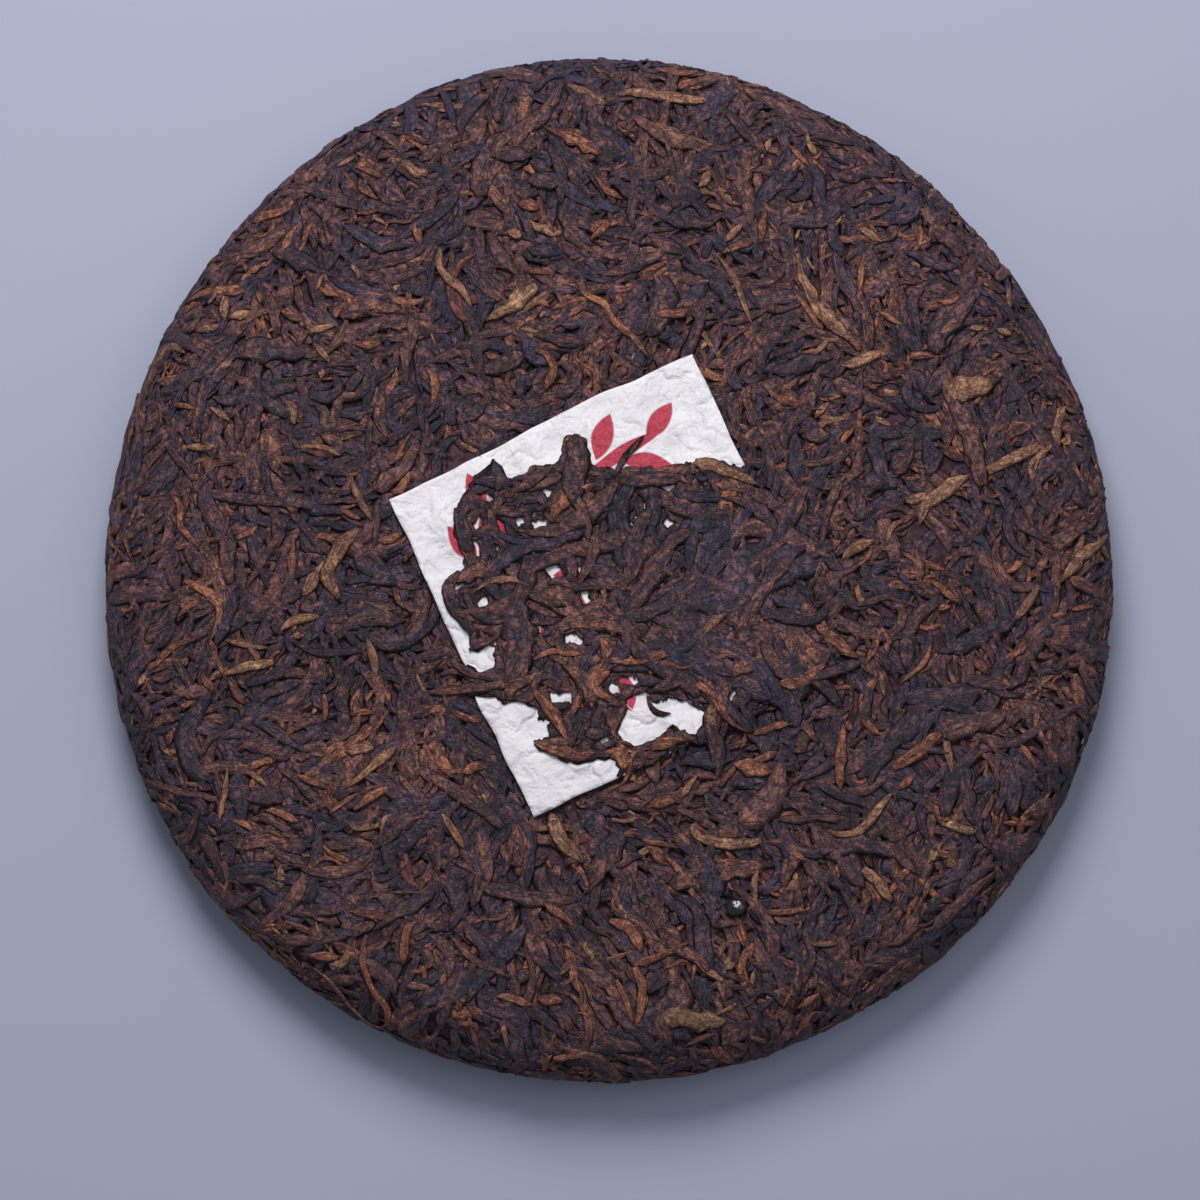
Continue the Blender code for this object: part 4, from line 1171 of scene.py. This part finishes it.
def paper_material():
    """Crumpled fibrous white paper with a plain print of twigs in red."""
    nodes = Nodes("rice_paper")
    sheet = nodes.add("ShaderNodeUVMap", uv_map="sheet").outputs[0]
    fibres = nodes.noise(sheet, 1.7, 5, 0.65)
    dull, white, cloudy, speck, deep_red, red = map(linear, PAPER_COLOURS)
    colour = nodes.mix(nodes.stretch(fibres, 0.35, 0.7), dull, white)
    clouds = nodes.stretch(nodes.noise(sheet, 0.16, 3, 0.5), 0.4, 0.65, 0, 0.4)
    colour = nodes.mix(clouds, colour, cloudy)
    specks = nodes.stretch(nodes.noise(sheet, 0.8, 2, 0.5), 0.735, 0.77)
    colour = nodes.mix(nodes.times(specks, 0.6), colour, speck)
    ink = nodes.mix(nodes.stretch(fibres, 0.3, 0.7), deep_red, red)
    colour = nodes.mix(print_mask(nodes, sheet), colour, ink)
    normal = None
    for scale, height in PAPER_CREASES:
        swirl = nodes.add("ShaderNodeTexNoise", {"Vector": sheet, "Scale": scale}).outputs["Color"]
        bent = nodes.add("ShaderNodeVectorMath", {0: sheet, 1: swirl}, operation="ADD").outputs[0]
        facets = nodes.add("ShaderNodeTexVoronoi", {"Vector": bent, "Scale": scale}).outputs["Distance"]
        normal = nodes.bump(facets, height, normal)
        normal = nodes.bump(nodes.line(nodes.noise(sheet, scale, 2, 0.5), 0.07), 0.2 * height, normal)
    return nodes.finish(colour, 0.85, nodes.bump(fibres, 0.15, normal), 0.25)


def print_mask(nodes, sheet):
    """1 on the strokes of the printed twigs: each is a lens in its own turned and stretched frame."""
    ink = 0.0
    for place_x, place_y, heading, size in PRINT_TWIGS:
        twig = nodes.turned(sheet, place_x, place_y, heading, size, size)
        for x, y, length, width, turn in PRINT_STROKES:
            stroke = nodes.turned(twig, x, y, turn, length / 2, width / 2)
            split = nodes.add("ShaderNodeSeparateXYZ", {0: stroke})
            along = nodes.times(split.outputs[0], split.outputs[0])
            lens = nodes.math("ADD", along, nodes.math("ABSOLUTE", split.outputs[1]))
            ink = nodes.math("MAXIMUM", ink, nodes.stretch(lens, 0.85, 1.0, 1.0, 0.0))
    return ink


def add_bud():
    """The small glossy black bud."""
    mesh = bpy.data.meshes.new("glossy_bud")
    shape = bmesh.new()
    bmesh.ops.create_icosphere(shape, subdivisions=3, radius=1)
    centre = laid_out([BUD_PLACE])[0]
    for vertex in shape.verts:
        vertex.co += vertex.co * 0.18 * noise.noise(vertex.co * 1.7)
        x, y, z = (np.array([vertex.co[i] * BUD_SIZE[i]]) for i in range(3))
        vertex.co = Vector(on_cake(centre[0] + x, centre[1] + y, z + BUD_LIFT, True)[0]) * MM
    shape.to_mesh(mesh)
    shape.free()
    mesh.shade_smooth()
    nodes = Nodes("glossy_black")
    grain = nodes.noise(nodes.where(), 1400)
    colour = nodes.mix(grain, *map(linear, BUD_COLOURS))
    mesh.materials.append(nodes.finish(colour, 0.14, nodes.bump(grain, 0.1), 0.6))
    add_piece("glossy_bud", mesh)


def add_floor():
    nodes = Nodes("floor_paper")
    colour = nodes.mix(nodes.noise(nodes.where(), 3), *map(linear, FLOOR_COLOURS))
    half = FLOOR_HALF
    corners = np.array([(-half, -half, 0), (half, -half, 0), (half, half, 0), (-half, half, 0)])
    mesh = smooth_mesh("floor", corners, [(0, 1, 2, 3)], nodes.finish(colour, 0.9, None, 0.2))
    floor = bpy.data.objects.new("floor", mesh)
    bpy.context.scene.collection.objects.link(floor)


def add_area(name, place, size, power, colour):
    light = bpy.data.lights.new(name, "AREA")
    light.shape = "DISK"
    light.size = size
    light.energy = power
    light.color = colour
    lamp = bpy.data.objects.new(name, light)
    lamp.location = place
    lamp.rotation_euler = (-Vector(place)).to_track_quat("-Z", "Y").to_euler()
    bpy.context.scene.collection.objects.link(lamp)


def add_studio():
    world = bpy.data.worlds.new("studio")
    world.use_nodes = True
    background = world.node_tree.nodes["Background"]
    background.inputs["Color"].default_value = AIR_COLOUR
    background.inputs["Strength"].default_value = AIR_STRENGTH
    bpy.context.scene.world = world
    for name, lamp in LAMPS.items():
        add_area(name, *lamp)
    bpy.context.scene.view_settings.view_transform = "Standard"


def add_camera():
    """Looks down on the front from a little below its middle, with the cake where the photograph has it."""
    ahead = Vector((0, math.cos(CAMERA_ELEVATION), -math.sin(CAMERA_ELEVATION)))
    right = Vector((1, 0, 0))
    up = right.cross(ahead)
    cake_width = (CAD_BOX[1][0] - CAD_BOX[0][0]) / MM
    per_pixel = cake_width / CAKE_WIDTH_PIXELS
    off = [PHOTO_PIXELS / 2 - CAKE_CENTRE_PIXELS[0], CAKE_CENTRE_PIXELS[1] - PHOTO_PIXELS / 2]
    aim_x = SILHOUETTE_SHIFT[0] + off[0] * per_pixel
    aim_y = SILHOUETTE_SHIFT[1] + off[1] * per_pixel
    aim = Vector((SHIFT[0], SHIFT[1], AIM_HEIGHT)) + right * aim_x + up * aim_y
    data = bpy.data.cameras.new("camera")
    data.sensor_width = SENSOR
    data.lens = SENSOR * CAMERA_DISTANCE / (PHOTO_PIXELS * per_pixel * MM)
    camera = bpy.data.objects.new("camera", data)
    camera.location = aim * MM - ahead * CAMERA_DISTANCE
    camera.rotation_euler = Matrix((right, up, -ahead)).transposed().to_euler()
    bpy.context.scene.collection.objects.link(camera)
    bpy.context.scene.camera = camera


def main():
    noise.seed_set(SEED)
    rng = np.random.default_rng(SEED)
    materials = {kind: leaf_material(kind) for kind in KINDS}
    add_core(core_material())
    add_paper(paper_material())
    dress(front_leaves(rng), materials)
    dress(back_leaves(rng), materials)
    add_bud()
    add_floor()
    add_studio()
    add_camera()


main()
